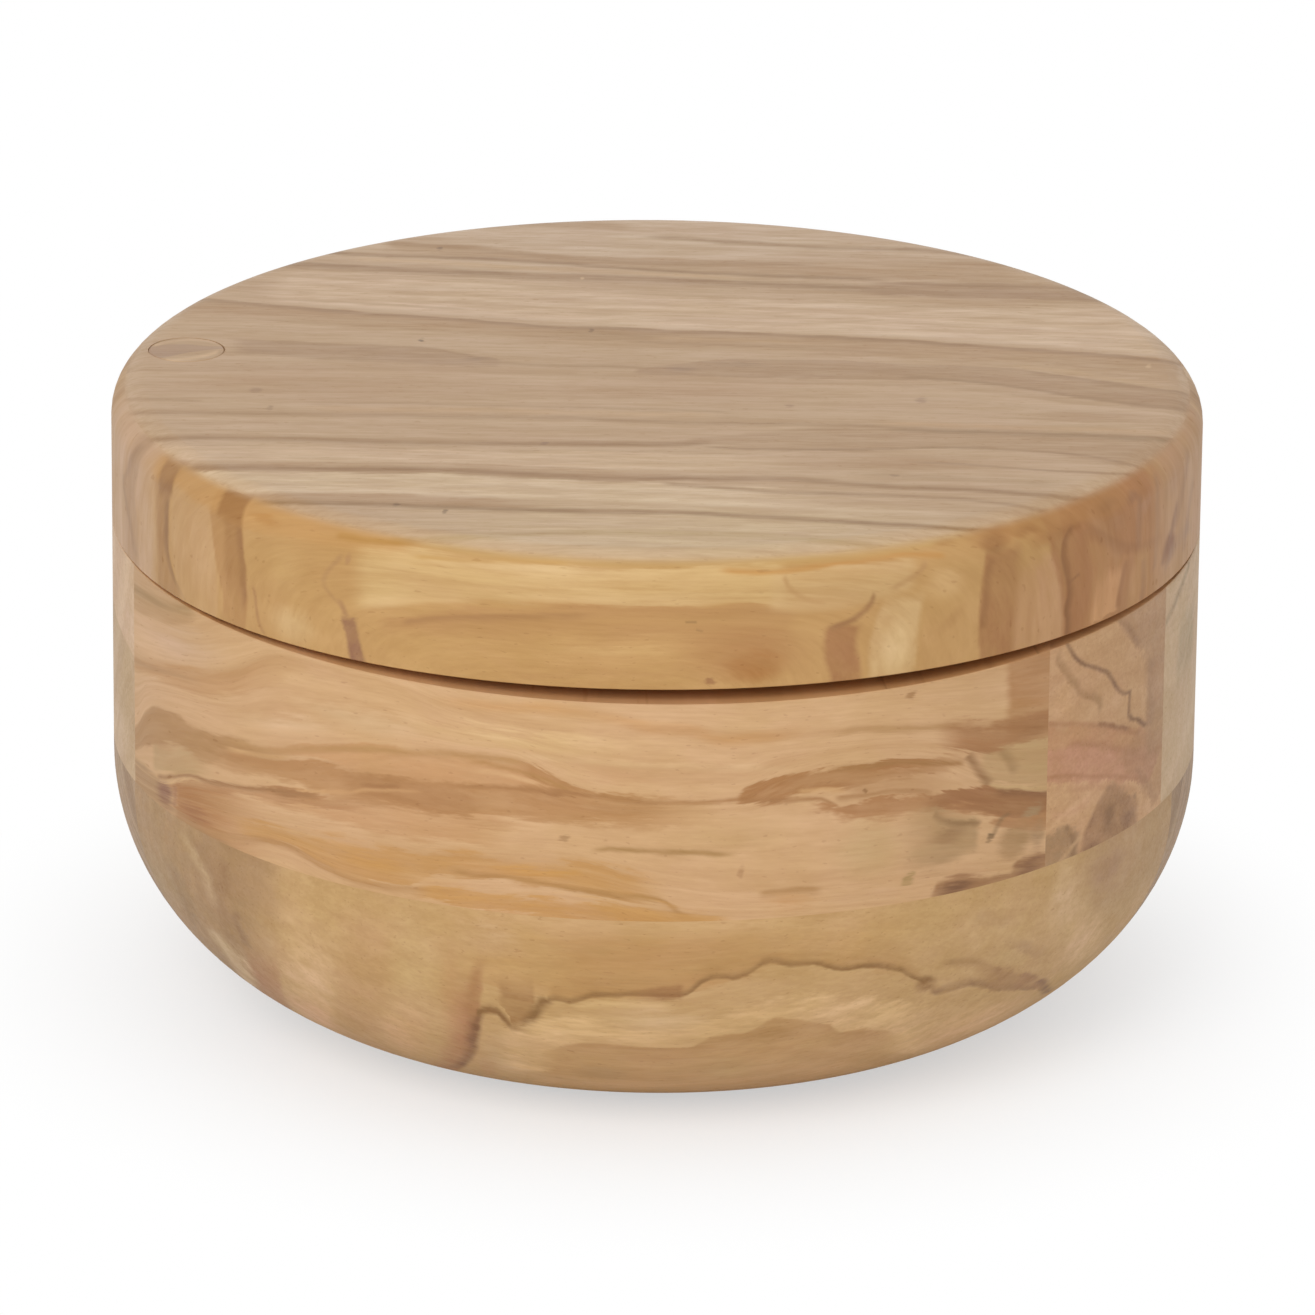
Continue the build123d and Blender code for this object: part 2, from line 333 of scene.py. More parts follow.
class Wood:
    """One board's material, from its place in the board to its oiled, sanded finish."""

    def __init__(self, name):
        self.material = bpy.data.materials.new(name)
        self.material.use_nodes = True
        self.tree = tree = self.material.node_tree
        tree.nodes.clear()
        coordinates = tree.nodes.new("ShaderNodeTexCoord")
        self.place = stretch(tree, coordinates.outputs["Object"], millimetres, millimetres, millimetres)
        parts = tree.nodes.new("ShaderNodeSeparateXYZ")
        feed(tree, self.place, parts.inputs[0])
        self.x, self.y, self.z = parts.outputs

    def levelled(self, along, across, lines):
        """Straightens the grain: across a face, the height at which each place would lie if the lines
        were level. Lines come from the lowest to the highest, each as its level and its points."""
        tree = self.tree
        routes = [(level, route_through(tree, along, points)) for level, points in lines]
        first_level, first = routes[0]
        short_of_first = reckon(tree, "MINIMUM", reckon(tree, "SUBTRACT", across, first), 0.0)
        height = reckon(tree, "ADD", short_of_first, first_level)
        for (low_level, low), (high_level, high) in zip(routes, routes[1:]):
            share = reckon(tree, "SUBTRACT", across, low)
            share = reckon(tree, "DIVIDE", share, reckon(tree, "SUBTRACT", high, low))
            share = reckon(tree, "MINIMUM", reckon(tree, "MAXIMUM", share, 0.0), 1.0)
            height = reckon(tree, "MULTIPLY_ADD", share, high_level - low_level, height)
        past_last = reckon(tree, "MAXIMUM", reckon(tree, "SUBTRACT", across, routes[-1][1]), 0.0)
        return reckon(tree, "ADD", height, past_last)

    def rings(self, heart, waver):
        """Growth layers about a heart."""
        group = self.tree.nodes.new("ShaderNodeGroup")
        group.node_tree = rings_group
        feed(self.tree, self.place, group.inputs["Place"])
        group.inputs["Heart"].default_value = heart
        group.inputs["Waver"].default_value = waver
        return group.outputs["Layer"]

    def grow(self, layer, ring_scale, seed=(0, 0, 0), place=None):
        """Gives the board its own piece of grain."""
        tree = self.tree
        shifted = reckon_place(tree, "ADD", self.place if place is None else place, seed)
        self.grain = tree.nodes.new("ShaderNodeGroup")
        self.grain.node_tree = grain_group
        feed(tree, shifted, self.grain.inputs["Place"])
        feed(tree, reckon(tree, "ADD", layer, sum(seed)), self.grain.inputs["Layer"])
        self.grain.inputs["Ring Scale"].default_value = ring_scale
        # Veins aren't ruled lines: they ripple, and their edges are ragged along the fibres.
        slow = noise(tree, stretch(tree, shifted, 0.6, 0.6), scale=0.3, detail=3.0, roughness=0.6)
        ways = tree.nodes.new("ShaderNodeSeparateXYZ")
        feed(tree, slow.outputs["Color"], ways.inputs[0])
        self.ripple = [reckon(tree, "SUBTRACT", way, middle) for way, middle in zip(ways.outputs, (0.5, 0.3))]
        ragged = reckon(tree, "MULTIPLY", self.grain.outputs["Fibre"], 0.3)
        ragged = reckon(tree, "MULTIPLY_ADD", self.grain.outputs["Streaks"], 0.7, ragged)
        self.ragged = reckon(tree, "SUBTRACT", ragged, 0.5)

    def figure(self, along, across, ground, ripple=1.0, ragged=0.4, soft=1.0, streaked=0.4):
        """A face to draw on, whose lines ripple by so many millimetres. The edges of its bands and spots
        are ragged, and what is drawn is streaked by the board's own grain."""
        tree = self.tree
        fullest = 1 + 0.3 * streaked  # between the streaks
        streaks = reckon(tree, "MULTIPLY_ADD", self.grain.outputs["Streaks"], -streaked, fullest)
        along = reckon(tree, "MULTIPLY_ADD", self.ripple[0], ripple, along)
        across = reckon(tree, "MULTIPLY_ADD", self.ripple[1], ripple, across)
        # Thin veins are a fifth as ragged, and only across. Bands and spots are ragged both ways.
        calm = (along, reckon(tree, "MULTIPLY_ADD", self.ragged, 0.2 * ragged, across))
        rough = (
            reckon(tree, "MULTIPLY_ADD", self.ragged, 0.35 * ragged, along),
            reckon(tree, "MULTIPLY_ADD", self.ragged, ragged, across),
        )
        ground = srgb(*ground) if isinstance(ground, tuple) else ground
        return Figure(tree, calm, rough, ground, streaks, soft)

    def natural(self, light, mid, dark):
        """Undrawn olive figure: growth bands from light to mid, crossed by dark veins."""
        tree = self.tree
        bands = stain(tree, srgb(*light), srgb(*mid), self.grain.outputs["Growth"])
        return stain(tree, bands, srgb(*dark), reckon(tree, "MULTIPLY", self.grain.outputs["Veins"], 0.8))

    def tint(self, colour, factors, amount, level):
        """Multiplies a colour by factors, as much as amount and one of the grain's levels say."""
        tinted = stain(self.tree, colour, (*factors, 1.0), 1.0, "MULTIPLY")
        amount = reckon(self.tree, "MULTIPLY", self.grain.outputs[level], amount)
        return stain(self.tree, colour, tinted, amount)

    def inside(self):
        """Where the wood lies inside the turned wall, as on the rim, in the hollow and under the lid."""
        off_axis = distance_off_axis(self.tree, self.x, self.y)
        return ease(self.tree, off_axis, turned_radius - 0.2, turned_radius - 0.08, 1.0, 0.0)

    def bare_inside(self, colour, light, mid, dark):
        """Leaves a drawn colour on the turned wall only: inside it the wood has its natural figure."""
        natural = self.natural(light, mid, dark)
        return stain(self.tree, colour, natural, self.inside())

    def surface(self, colour, growth=0.5, fibre=0.3, cloud=0.5, pores=0.3, roughness=0.44, relief=0.02):
        """Growth, fibres, clouds and pores go over the figure, and the oiled finish over all."""
        tree, grain = self.tree, self.grain.outputs
        colour = self.tint(colour, (0.88, 0.84, 0.78), 0.5 * cloud + 0.5 * fibre, "Streaks")
        colour = self.tint(colour, (0.86, 0.81, 0.74), growth, "Growth")
        colour = self.tint(colour, (0.80, 0.74, 0.66), fibre, "Fibre")
        colour = self.tint(colour, (0.93, 0.93, 0.80), cloud, "Cloud")
        colour = self.tint(colour, (0.62, 0.52, 0.44), pores, "Pores")
        finish = tree.nodes.new("ShaderNodeBsdfPrincipled")
        feed(tree, colour, finish.inputs["Base Color"])
        dull = reckon(tree, "MULTIPLY_ADD", grain["Fibre"], 0.08, roughness)
        feed(tree, reckon(tree, "MULTIPLY_ADD", grain["Pores"], 0.12, dull), finish.inputs["Roughness"])
        finish.inputs["IOR"].default_value = 1.45
        finish.inputs["Specular IOR Level"].default_value = 0.42
        bump = tree.nodes.new("ShaderNodeBump")
        bump.inputs["Strength"].default_value = 0.5
        bump.inputs["Distance"].default_value = relief / millimetres
        feed(tree, reckon(tree, "MULTIPLY_ADD", grain["Pores"], -0.8, grain["Relief"]), bump.inputs["Height"])
        feed(tree, bump.outputs["Normal"], finish.inputs["Normal"])
        return finish.outputs["BSDF"]

    def finished(self, surface):
        """The material, with its surface in place."""
        output = self.tree.nodes.new("ShaderNodeOutputMaterial")
        feed(self.tree, surface, output.inputs["Surface"])
        return self.material


def dress(name, material):
    """Gives a piece its material, in place of the plain one it came with."""
    slots = pieces[name].data.materials
    slots.clear()
    slots.append(material)


front_base = Wood("olive_front_base_board")
spalt_run = [
    (-60, 30), (-40, 26), (-24, 19), (-12, 18), (-6, 20), (4, 21), (12, 24), (24, 22), (30, 18), (42, 13),
    (60, 6),
]
foot_run = [
    (-60, 12), (-40, 9), (-20, 8), (-8, 12.4), (4, 12.6), (13, 16), (20, 13.6), (28, 9), (42, 2), (60, -4),
]
runs = [(10, foot_run), (20, spalt_run), (31, [(-60, 40), (0, 31), (60, 20)])]
level = front_base.levelled(front_base.x, front_base.z, runs)
front_base.grow(level, 0.22, seed=(15, -60, 40))
wander = noise(front_base.tree, front_base.place, scale=0.07, detail=2.0)
furthest = 5.0  # how far the clouds' edges wander along the board, end to end
back_half = reckon(front_base.tree, "ADD", front_base.x, -furthest / 2)
wander = reckon(front_base.tree, "MULTIPLY_ADD", wander.outputs["Fac"], furthest, back_half)
clouds = front_base.figure(wander, front_base.z, (201, 164, 116), ripple=2.0, ragged=0.2)
# The mottled grey end at the left, then clouds that stand upright in the pale wood.
clouds.band([(-70, 2), (-70, 30)], [(-46, 2), (-46, 10), (-45, 20), (-45, 31)],
            (173, 139, 102), 1.0, above=7.5, turn=90)
clouds.band([(-47, 20), (-46, 31)], [(-43, 19), (-42, 31)],
            (168, 132, 90), 0.5, below=3, above=4, fade=(6, 0.1), turn=90)
clouds.spot((-54, 20), (4, 7), (178, 148, 112), 0.7)
clouds.band([(-43.6, 3), (-43, 19)], [(-40.4, 3), (-40.8, 19)],
            (182, 134, 100), below=2.5, above=1.0, fade=(1, 6), turn=90)
clouds.spot((-36.6, 15), (5.4, 12), (221, 184, 143))
clouds.spot((-36.6, 9), (4.6, 5), (222, 178, 140))
clouds.spot((-26.4, 11), (3, 7), (220, 178, 136), 0.75)
clouds.band([(-32.6, 3), (-31.6, 29)], [(-29.8, 3), (-30, 29)],
            (194, 153, 108), 0.6, below=2.5, above=2.5, fade=(3, 6), turn=90)
clouds.spot((-26, 21), (3.6, 9), (206, 172, 124))
clouds.spot((-21.6, 18), (2, 9), (196, 152, 106), 0.7)
clouds.spot((34, 9.5), (9, 6), (224, 184, 142), 0.85)
clouds.spot((37, 21), (11, 8), (208, 172, 130), 0.45)
clouds.band([(48, 19), (49.4, 31)], [(58, 16), (62, 31)],
            (180, 146, 116), 0.5, below=4, above=2, fade=(6, 0.1), turn=90)
clouds.spot((45, 25), (3.2, 6), (218, 184, 146))
clouds.spot((49.6, 26), (2.2, 4), (172, 134, 104), 0.6)
clouds.spot((46, 17.4), (4.4, 6), (224, 188, 149))
face = front_base.figure(
    front_base.x, front_base.z, clouds.colour, ripple=0.7, ragged=0.8, soft=1.2, streaked=0.6
)
face.band([(-50, 21), (-46, 21)], [(-49, 27.5), (-44, 29.6)],
          (162, 126, 88), 0.35, below=3.5, above=2, fade=(2, 3))
face.vein([(-50.6, 29), (-48.6, 25), (-46.8, 20), (-45, 14), (-43, 8)],
          (154, 118, 82), 0.5, width=0.6, above=1.4, fade=(2, 4), turn=-65)
face.vein([(-51.5, 28.5), (-50, 26.5), (-48.6, 24.5), (-47.6, 21.5), (-46.8, 19.6)],
          (196, 165, 128), width=0.9, fade=(2, 3), turn=-60)
face.vein([(-46.1, 28), (-46.2, 25), (-45.8, 22)],
          (154, 116, 78), 0.7, width=0.8, below=1, fade=(2, 2), turn=90)
face.vein([(-44.7, 21.8), (-45.1, 20), (-44.4, 18.5), (-43.8, 16.5)],
          (150, 115, 84), width=0.6, above=0.9, turn=90)
face.spot((-44.6, 12), (2.0, 5.6), (216, 186, 152), 0.85, core=0.2, turn=14)
face.vein([(-48.4, 17), (-46.2, 14), (-45.1, 12), (-44.3, 10), (-43.4, 7.4)],
          (210, 182, 148), 0.9, width=1.2, fade=(2, 2), turn=-60)
face.vein([(-53, 24), (-51, 19), (-49.5, 14)], (150, 120, 90), 0.6, width=1.2, fade=(3, 3), turn=-60)
# The golden wood over the spalt line.
face.band([(-24, 22), (-12, 19.5), (0, 20.3), (12, 24), (22, 22.3), (30, 19)], [(-24, 31), (30, 31)],
          (199, 159, 108), 1.0, below=0.2, fade=(9, 9))
face.band([(-12, 20), (4, 21), (14, 24)], [(-12, 25), (14, 26)],
          (190, 147, 96), 0.75, below=0.5, above=4, fade=(5, 5))
face.band([(-26, 28.2), (0, 28.4), (30, 28)], [(-26, 31), (30, 31)],
          (204, 166, 120), 0.7, below=1.5, fade=(9, 9))
face.spot((-17.6, 26), (5.4, 3), (207, 170, 132))
face.spot((1, 16.2), (9, 3.2), (218, 184, 143), 0.75)
# The crease that runs down the pale wood, reddish on its left.
face.band([(-22.2, 3), (-20.8, 8), (-19.8, 12), (-19.4, 16), (-19.0, 21)],
          [(-21.5, 3), (-20, 8), (-19.2, 12), (-18.6, 16), (-18.4, 23)],
          (178, 126, 88), 0.85, below=2.4, above=0.5, fade=(0.5, 6), turn=90)
face.spot((-17.4, 6.6), (1.6, 3), (196, 146, 108), 0.6)
face.vein([(-21.2, 4.5), (-20.4, 6.2), (-19.7, 8), (-19.1, 10), (-18.9, 12), (-18.7, 14.3), (-18.4, 15.8),
           (-18.1, 16.4)], (134, 92, 58), 0.9, width=0.7, below=1.2, fade=(0.5, 0.8), turn=90)
face.vein([(-19.3, 14), (-19.1, 17), (-18.9, 20), (-18.5, 22), (-17.6, 25)],
          (176, 130, 86), 0.7, width=0.9, fade=(2, 4), turn=90)
# The spalt line: a hook beside the crease, then a long wavering line to the right.
face.band([(-16.6, 19), (-15.2, 17), (-14.2, 14.4), (-13.3, 15.6), (-12.2, 18)],
          [(-16.6, 19.4), (-14.6, 18.8), (-12.2, 19.6)],
          (170, 128, 82), 0.9, below=0.3, above=2.6, fade=(0.9, 0.6))
face.vein([(-18.8, 15.6), (-18, 16.6), (-17.2, 16.9), (-16.4, 16.8), (-15.7, 15.9), (-15, 14.8),
           (-14.4, 14.2), (-13.9, 14.2)], (146, 106, 62), 1.0, width=0.75, above=1.1, fade=(0.4, 0.6))
face.vein([(-14.2, 14.1), (-13.4, 15), (-12.7, 16.5), (-12.1, 17.8), (-11.4, 18.8), (-10.6, 19.2)],
          (144, 106, 62), 1.0, width=1.0, fade=(0.6, 0.6), turn=50)
spalt_line = [
    (-11.2, 19), (-10, 19.3), (-8.6, 19.1), (-7.4, 19.6), (-6, 20.1), (-4, 20.1), (-2, 20.3), (0.5, 20.3),
    (3.4, 20.2), (4.2, 20.9), (5.4, 22), (6.4, 22.5), (7.5, 22.6), (8.6, 22.3), (9.6, 22.5), (10.8, 23.2),
    (11.6, 23.9), (12.8, 24.1), (14.4, 23.6), (17.4, 23.4), (18.4, 23), (19.6, 22.4), (21, 22.2),
    (22.6, 22.3), (24, 22.1), (25.6, 21.5), (26.8, 20.8), (28, 19.8), (28.9, 19), (29.8, 18.3),
]
face.vein(spalt_line, (176, 132, 82), 0.55, width=0.3, above=2.2, fade=(1, 2))
face.vein(spalt_line, (150, 112, 68), 0.95, width=0.35, above=0.7, fade=(0.4, 1.0))
face.band([(-3, 20.1), (0, 20), (3.7, 20)], [(-3, 20.4), (0, 20.8), (3.4, 21)],
          (156, 111, 68), below=0.3, above=0.8, fade=(4, 0.8))
face.spot((29.3, 18.4), (1.6, 1.5), (146, 106, 62), 0.85, core=0.2)
face.vein([(29.6, 17.4), (30.6, 16.9), (32, 17), (33.8, 17), (35.2, 16.5), (36.4, 15.7), (37.4, 15),
           (39, 14.4), (40, 13.7), (40.8, 12.9), (42.4, 12.5)],
          (158, 121, 84), 0.85, above=1.1, fade=(0.8, 1))
face.band([(34, 17), (36, 15.8), (38, 14.8), (40, 13.7), (42, 12.2), (43, 9.5)],
          [(34, 20.2), (35.4, 19.6), (37, 17.9), (39, 16.6), (41, 15), (42.4, 13.6), (43.4, 10)],
          (168, 126, 88), 0.85, below=0.5, above=0.9, fade=(4, 1.5))
face.vein([(30.5, 21), (32.5, 20.5), (34.6, 20.1), (36, 19.2)], (176, 138, 94), width=0.8, fade=(1.5, 1.5))
face.vein([(42, 14), (42.6, 12.6), (43, 11), (43.4, 9)],
          (140, 102, 72), 0.85, width=0.8, fade=(0.6, 0.5), turn=90)
face.spot((40.4, 19.6), (4.6, 1.2), (182, 146, 108), 0.6, turn=-40)
# Cream under the line, then the browner clouds near the foot, which are painted lighter than the wood to
# offset the shade round the foot.
face.spot((-15.4, 9), (3.4, 6), (206, 172, 128), 0.9, core=0.2)
cream_top = [
    (-17, 13), (-11, 15.4), (-7, 16), (-3, 15), (1, 14.8), (4, 15.2), (8, 16.6), (12, 18.2), (17, 18.4),
    (22, 17.4), (27, 15.8), (32, 13),
]
face.band([(-17, 7), (0, 9), (13, 12), (24, 9), (32, 4)],
          cream_top, (227, 190, 144), 0.85, above=1.4, fade=(3, 5))
face.vein([(-9, 18.4), (-6, 19), (-2, 19.2), (3, 18.8)], (222, 187, 138), 0.7, width=0.9, fade=(2, 3))
foot_cloud = [
    (-12.5, 10), (-11, 11.2), (-9, 12.3), (-6, 13.1), (-2, 12.7), (2, 12.4), (4.4, 12.6), (6, 13.7),
    (8.4, 14.4), (10.4, 14.6), (12, 15.8), (13.2, 16.3), (14.4, 16.1), (16, 15.6), (18.4, 14.9), (20.4, 13.3),
    (23, 12.9), (25, 12.3), (26.6, 11), (28, 9),
]
face.band([(-12.5, 0), (28, 0)], foot_cloud, (200, 159, 110), 0.93, above=0.55, fade=(2.5, 4))
face.vein(foot_cloud[1:-1], (184, 142, 95), 0.6, below=3, above=0.4, fade=(2.5, 4))
face.spot((13, 14.4), (4.4, 1.6), (178, 136, 86), 0.7)
face.spot((8, 8.8), (4.2, 3), (200, 166, 116), 0.7)
face.spot((-5, 8), (5, 2.2), (184, 148, 104), 0.6)
# The right end: streaks that run down to the right.
face.vein([(34, 26.2), (36.5, 24.9), (39, 23.5)], (184, 149, 110), 0.4, width=1.2, fade=(1.5, 1.5), turn=-30)
face.spot((38, 19.5), (4, 1.8), (202, 168, 122), 0.6, turn=-40)
surface = front_base.surface(face.colour, growth=0.5, fibre=0.32, cloud=0.75)
dress("base_front_board", front_base.finished(surface))


# --- Middle and rear base boards -------------------------------------------------------------------
# The other two boards of the lower layer. The middle one carries the foot and the hollow's floor, and
# shows a greyer, mauve end at the right; the rear one has the usual banded figure of olive wood.

middle_base = Wood("olive_middle_base_board")
middle_base.grow(middle_base.rings(heart=(0, -60, 60), waver=12), 0.14, seed=(120, 33, -70))
figured = middle_base.natural((188, 158, 128), (162, 130, 100), (122, 91, 66))
dress("base_middle_board", middle_base.finished(middle_base.surface(figured, growth=0.2, cloud=0.6)))

rear_base = Wood("olive_rear_base_board")
rear_base.grow(rear_base.rings(heart=(10, -30, 75), waver=13), 0.11, seed=(-80, 10, 15))
figured = rear_base.natural((208, 172, 124), (184, 142, 94), (140, 102, 64))
dress("base_rear_board", rear_base.finished(rear_base.surface(figured, growth=0.2, cloud=0.6)))


# --- Front block -----------------------------------------------------------------------------------
# The long block of the upper layer, glued down on the front board. Its figure is a sheaf of brown
# bands that spreads from a small knot at the lower left, and breaks up into grey spalting at the right.

front_block = Wood("olive_front_block")
sheaf = [
    (30, [(-60, 27), (-53, 29.4), (-46, 30.3), (-40, 31.7), (-33, 30.4), (-26, 30.2), (-10, 31.4),
          (4, 29.6), (20, 28.6), (44, 27)]),
    (35, [(-60, 29), (-53, 31), (-48, 32.6), (-42, 33.4), (-30, 34.5), (-18, 35.3), (-10, 35.7), (0, 33.7),
          (12, 32.3), (30, 32), (44, 29)]),
    (40, [(-60, 31), (-53.5, 32), (-50, 34.9), (-44, 36.6), (-37, 38.2), (-30, 39.9), (-20, 40.2),
          (0, 40.5), (20, 40), (30, 39), (44, 34)]),
    (43.5, [(-60, 33), (-57, 34), (-55, 38.8), (-52, 40.8), (-46, 41.8), (-40, 43), (-32, 45.3),
            (-24, 46.6), (-16, 46.6), (-10, 44.3), (-6, 43.2), (0, 42.7), (9, 42.7), (14, 44.6), (20, 45.5),
            (30, 44.1), (36, 40.6), (44, 38)]),
    (50, [(-60, 42), (-57, 43.4), (-52, 46), (-46, 48.5), (-40, 52.7), (-30, 53), (-20, 51), (-8, 50.4),
          (4, 50.2), (10, 49.6), (24, 49.3), (34, 47.5), (44, 45)]),
    (57, [(-60, 50), (-57, 51.8), (-50, 53.8), (-44, 57), (-20, 57), (20, 56), (44, 54)]),
]
level = front_block.levelled(front_block.x, front_block.z, sheaf)
along_sheaf = front_block.tree.nodes.new("ShaderNodeCombineXYZ")
for value, socket in zip((front_block.x, 0.0, level), along_sheaf.inputs):
    feed(front_block.tree, value, socket)
front_block.grow(level, 0.3, seed=(-40, 70, 5), place=along_sheaf.outputs[0])
face = front_block.figure(
    front_block.x, front_block.z, (211, 171, 129), ripple=0.8, ragged=1.4, soft=1.3, streaked=0.5
)
face.spot((-14, 48.8), (16, 1.8), (219, 183, 136), 1.0)
face.spot((-51, 49.5), (7, 3.5), (204, 168, 136), turn=20)
face.band([(-58, 49.8), (-54, 51), (-50, 53.2), (-48.6, 54.6)], [(-58, 56), (-48.6, 56)],
          (192, 154, 112), 0.9, below=0.8, fade=(0.5, 2))
face.vein([(-57, 51.6), (-55.4, 52.1), (-53, 52.8), (-50.8, 53.8), (-49, 54.6)],
          (170, 136, 92), width=0.8, fade=(0.5, 1.5))
face.band([(-57, 42.6), (-55.4, 43.6), (-52, 44.9), (-49, 45.5), (-46.4, 46.6), (-44, 48), (-41, 50.2),
           (-38, 52), (-34, 53.2)],
          [(-57, 43.4), (-54, 45.1), (-51, 46.5), (-48, 47.5), (-46, 48.7), (-43, 51), (-40, 52.9),
           (-34, 54.6)], (196, 152, 106), 1.0, below=0.7, above=0.9, fade=(0.5, 12))
face.vein([(-57.5, 43), (-55, 44.3), (-52.6, 45.4), (-50, 46.1), (-48, 46.4)],
          (184, 145, 102), 0.7, width=0.6, fade=(1.5, 3))
face.vein([(-24, 52.3), (-18, 52.3), (-11, 52.7), (-5, 52.2), (-1, 51.2), (4, 50.7), (7.6, 49.6), (12, 49.7),
           (17, 50.2)], (203, 156, 106), width=0.9, fade=(5, 5))
face.vein([(18, 49.2), (22, 49.6), (25, 49.1), (30, 48.4), (33, 48)], (182, 142, 94), 0.7, fade=(3, 1))
face.vein([(-16, 47.1), (-10, 47.2), (-4, 47), (3, 46.7), (9, 46.4), (15, 46.1)],
          (217, 180, 138), fade=(4, 2))
# The upper brown band, with an ochre rim, from the left joint over the middle.
face.band([(-24, 43), (-12, 43.6), (-7, 43.2)],
          [(-44, 42), (-38, 43.6), (-32, 45.1), (-26, 46), (-22, 46.4), (-14, 45.8), (-7, 43.6)],
          (202, 156, 110), 1.0, below=0.5, above=0.4, fade=(6, 1))
face.band([(-58, 31.5), (-56.8, 33.4), (-55.6, 35), (-54, 36.4), (-52, 37.5), (-50, 38), (-48, 38.3),
           (-46.4, 39.3), (-42, 40.2), (-36, 41)],
          [(-58, 32.6), (-57, 34.4), (-56, 36.6), (-55, 38.9), (-54, 40), (-52, 40.8), (-48, 40.9),
           (-45, 41.3), (-41, 42.2), (-36, 42.7)], (178, 136, 89), 1.0, above=0.7, fade=(0.4, 9))
face.spot((-31, 48.6), (9, 2), (221, 187, 150))
face.spot((-39, 45.6), (8, 1.5), (221, 186, 148), 0.75, turn=14)
face.band([(-44, 36), (-36, 36.6), (-28, 36.6), (-14, 37)],
          [(-44, 36.6), (-36, 38), (-28, 39.2), (-14, 39.8)], (199, 153, 108), 0.75, below=0.8, fade=(3, 6))
face.vein([(-47, 41.2), (-44, 41.6), (-41, 42.2), (-38, 43.2), (-35, 44.1), (-31, 45.1), (-27, 45.8),
           (-23, 46.4), (-19, 46.6), (-15, 46.4), (-12, 46)], (184, 142, 92), 0.9, width=0.6, fade=(3, 3))
face.band([(-15, 45.7), (-12, 44.6), (-9.6, 43.8), (-6, 43.2)],
          [(-15, 46.4), (-12, 45.9), (-10, 45), (-8, 44.3), (-5.6, 43.6)],
          (181, 134, 86), 1.0, below=0.4, above=0.4, fade=(2.5, 1))
face.vein([(-21, 46), (-17, 45.8), (-14, 45.3), (-12, 44.8), (-10, 44.2), (-8.4, 43.7)],
          (176, 132, 80), width=0.4, fade=(3, 1))
face.vein([(-20, 45), (-16, 44.9), (-13.6, 44.4), (-11.6, 44)],
          (214, 172, 126), 0.9, width=0.35, fade=(2, 1.5))
# The middle band: two brown runs that meet, and the dark thread under them.
face.band([(-48, 38.8), (-44, 39), (-40, 39.6), (-36, 39.6), (-31, 39.8), (-26, 40), (-20, 40.2),
           (-12, 40.6), (0, 40.6), (8, 41)],
          [(-48, 39.2), (-44, 40), (-40, 41), (-36, 42), (-32, 42.4), (-26, 42.7), (-20, 43.1), (-12, 43.5),
           (-4, 43), (8, 42.8)], (184, 138, 91), 1.0, below=0.8, above=0.5, fade=(3, 12))
face.band([(-34, 40.2), (-28, 40.2), (-22, 40), (-17, 40.4)],
          [(-34, 41.6), (-28, 42.3), (-22, 42.3), (-17, 41.8)], (174, 127, 81), fade=(2.5, 3))
face.vein([(-46.6, 40.1), (-44, 40.7), (-42, 41.2), (-40, 41.8), (-38.4, 42.4)],
          (205, 163, 114), width=0.4, fade=(1.5, 1.5))
face.vein([(-31.6, 40.9), (-30, 41.2), (-28.4, 41.6), (-26.6, 42)], (160, 113, 70), width=0.4)
face.vein([(-40, 38.3), (-37, 38.7), (-34, 39.6), (-31, 40.4), (-29, 41), (-26.6, 41.5), (-24, 41.8)],
          (205, 160, 112), 0.9, width=0.3, fade=(2, 2))
face.vein([(-25, 42.7), (-20, 43.1), (-16, 43.4), (-12, 43.4), (-9.6, 43.2), (-6.6, 43.2), (-3.6, 42.9),
           (0, 42.6), (3, 42.7), (6.4, 42.7), (9, 42.8), (12, 43)],
          (170, 124, 78), 0.85, width=0.4, fade=(7, 2))
face.spot((-9, 43.4), (3.2, 0.6), (163, 116, 72), 0.7, core=0.3)
face.spot((-3, 45.5), (6, 1.3), (209, 165, 125), 0.7)
# The lower dark line climbs out of the knot and runs into the band.
face.band([(-53, 31.4), (-51, 32.6), (-49, 33.8), (-47, 34.9), (-45, 35.7), (-42, 36.6), (-38, 37.2),
           (-34, 38), (-28, 38.8)],
          [(-53, 31.8), (-51, 33.6), (-49, 34.9), (-46, 36), (-43, 36.9), (-40, 37.7), (-36, 38.4),
           (-32, 39.4), (-28, 40)], (180, 133, 90), 0.9, below=0.5, above=0.35, fade=(1, 7))
face.vein([(-54.2, 32.2), (-52.8, 33.1), (-51.4, 34.2), (-50, 35), (-48, 35.5), (-46, 36.1), (-44, 36.65),
           (-42, 37.2), (-40, 37.6), (-37, 38.2), (-35.2, 38.6)],
          (156, 113, 72), 0.85, width=0.35, fade=(0.5, 2))
face.spot((-38.4, 37.9), (3.6, 0.55), (164, 119, 77), 0.75, turn=10)
face.band([(-54.6, 33), (-51, 35.3), (-47, 36.8)], [(-54.6, 35.4), (-51, 37), (-47, 38)],
          (188, 156, 112), fade=(0.6, 3))
face.band([(-52, 29), (-40, 29.4)], [(-52, 32.6), (-49, 33.4), (-46, 34.6), (-40, 34.8)],
          (175, 122, 73), 0.9, below=0.4, above=1.0, fade=(0.6, 10))
face.spot((-49.6, 30.8), (2.8, 1.5), (164, 112, 74))
face.band([(-59, 28), (-53, 28), (-44, 28)],
          [(-59, 30), (-56, 31.6), (-54.2, 31.8), (-52.6, 29.8), (-50, 29.5), (-44, 29.3)],
          (170, 133, 92), above=0.8, fade=(0.6, 3))
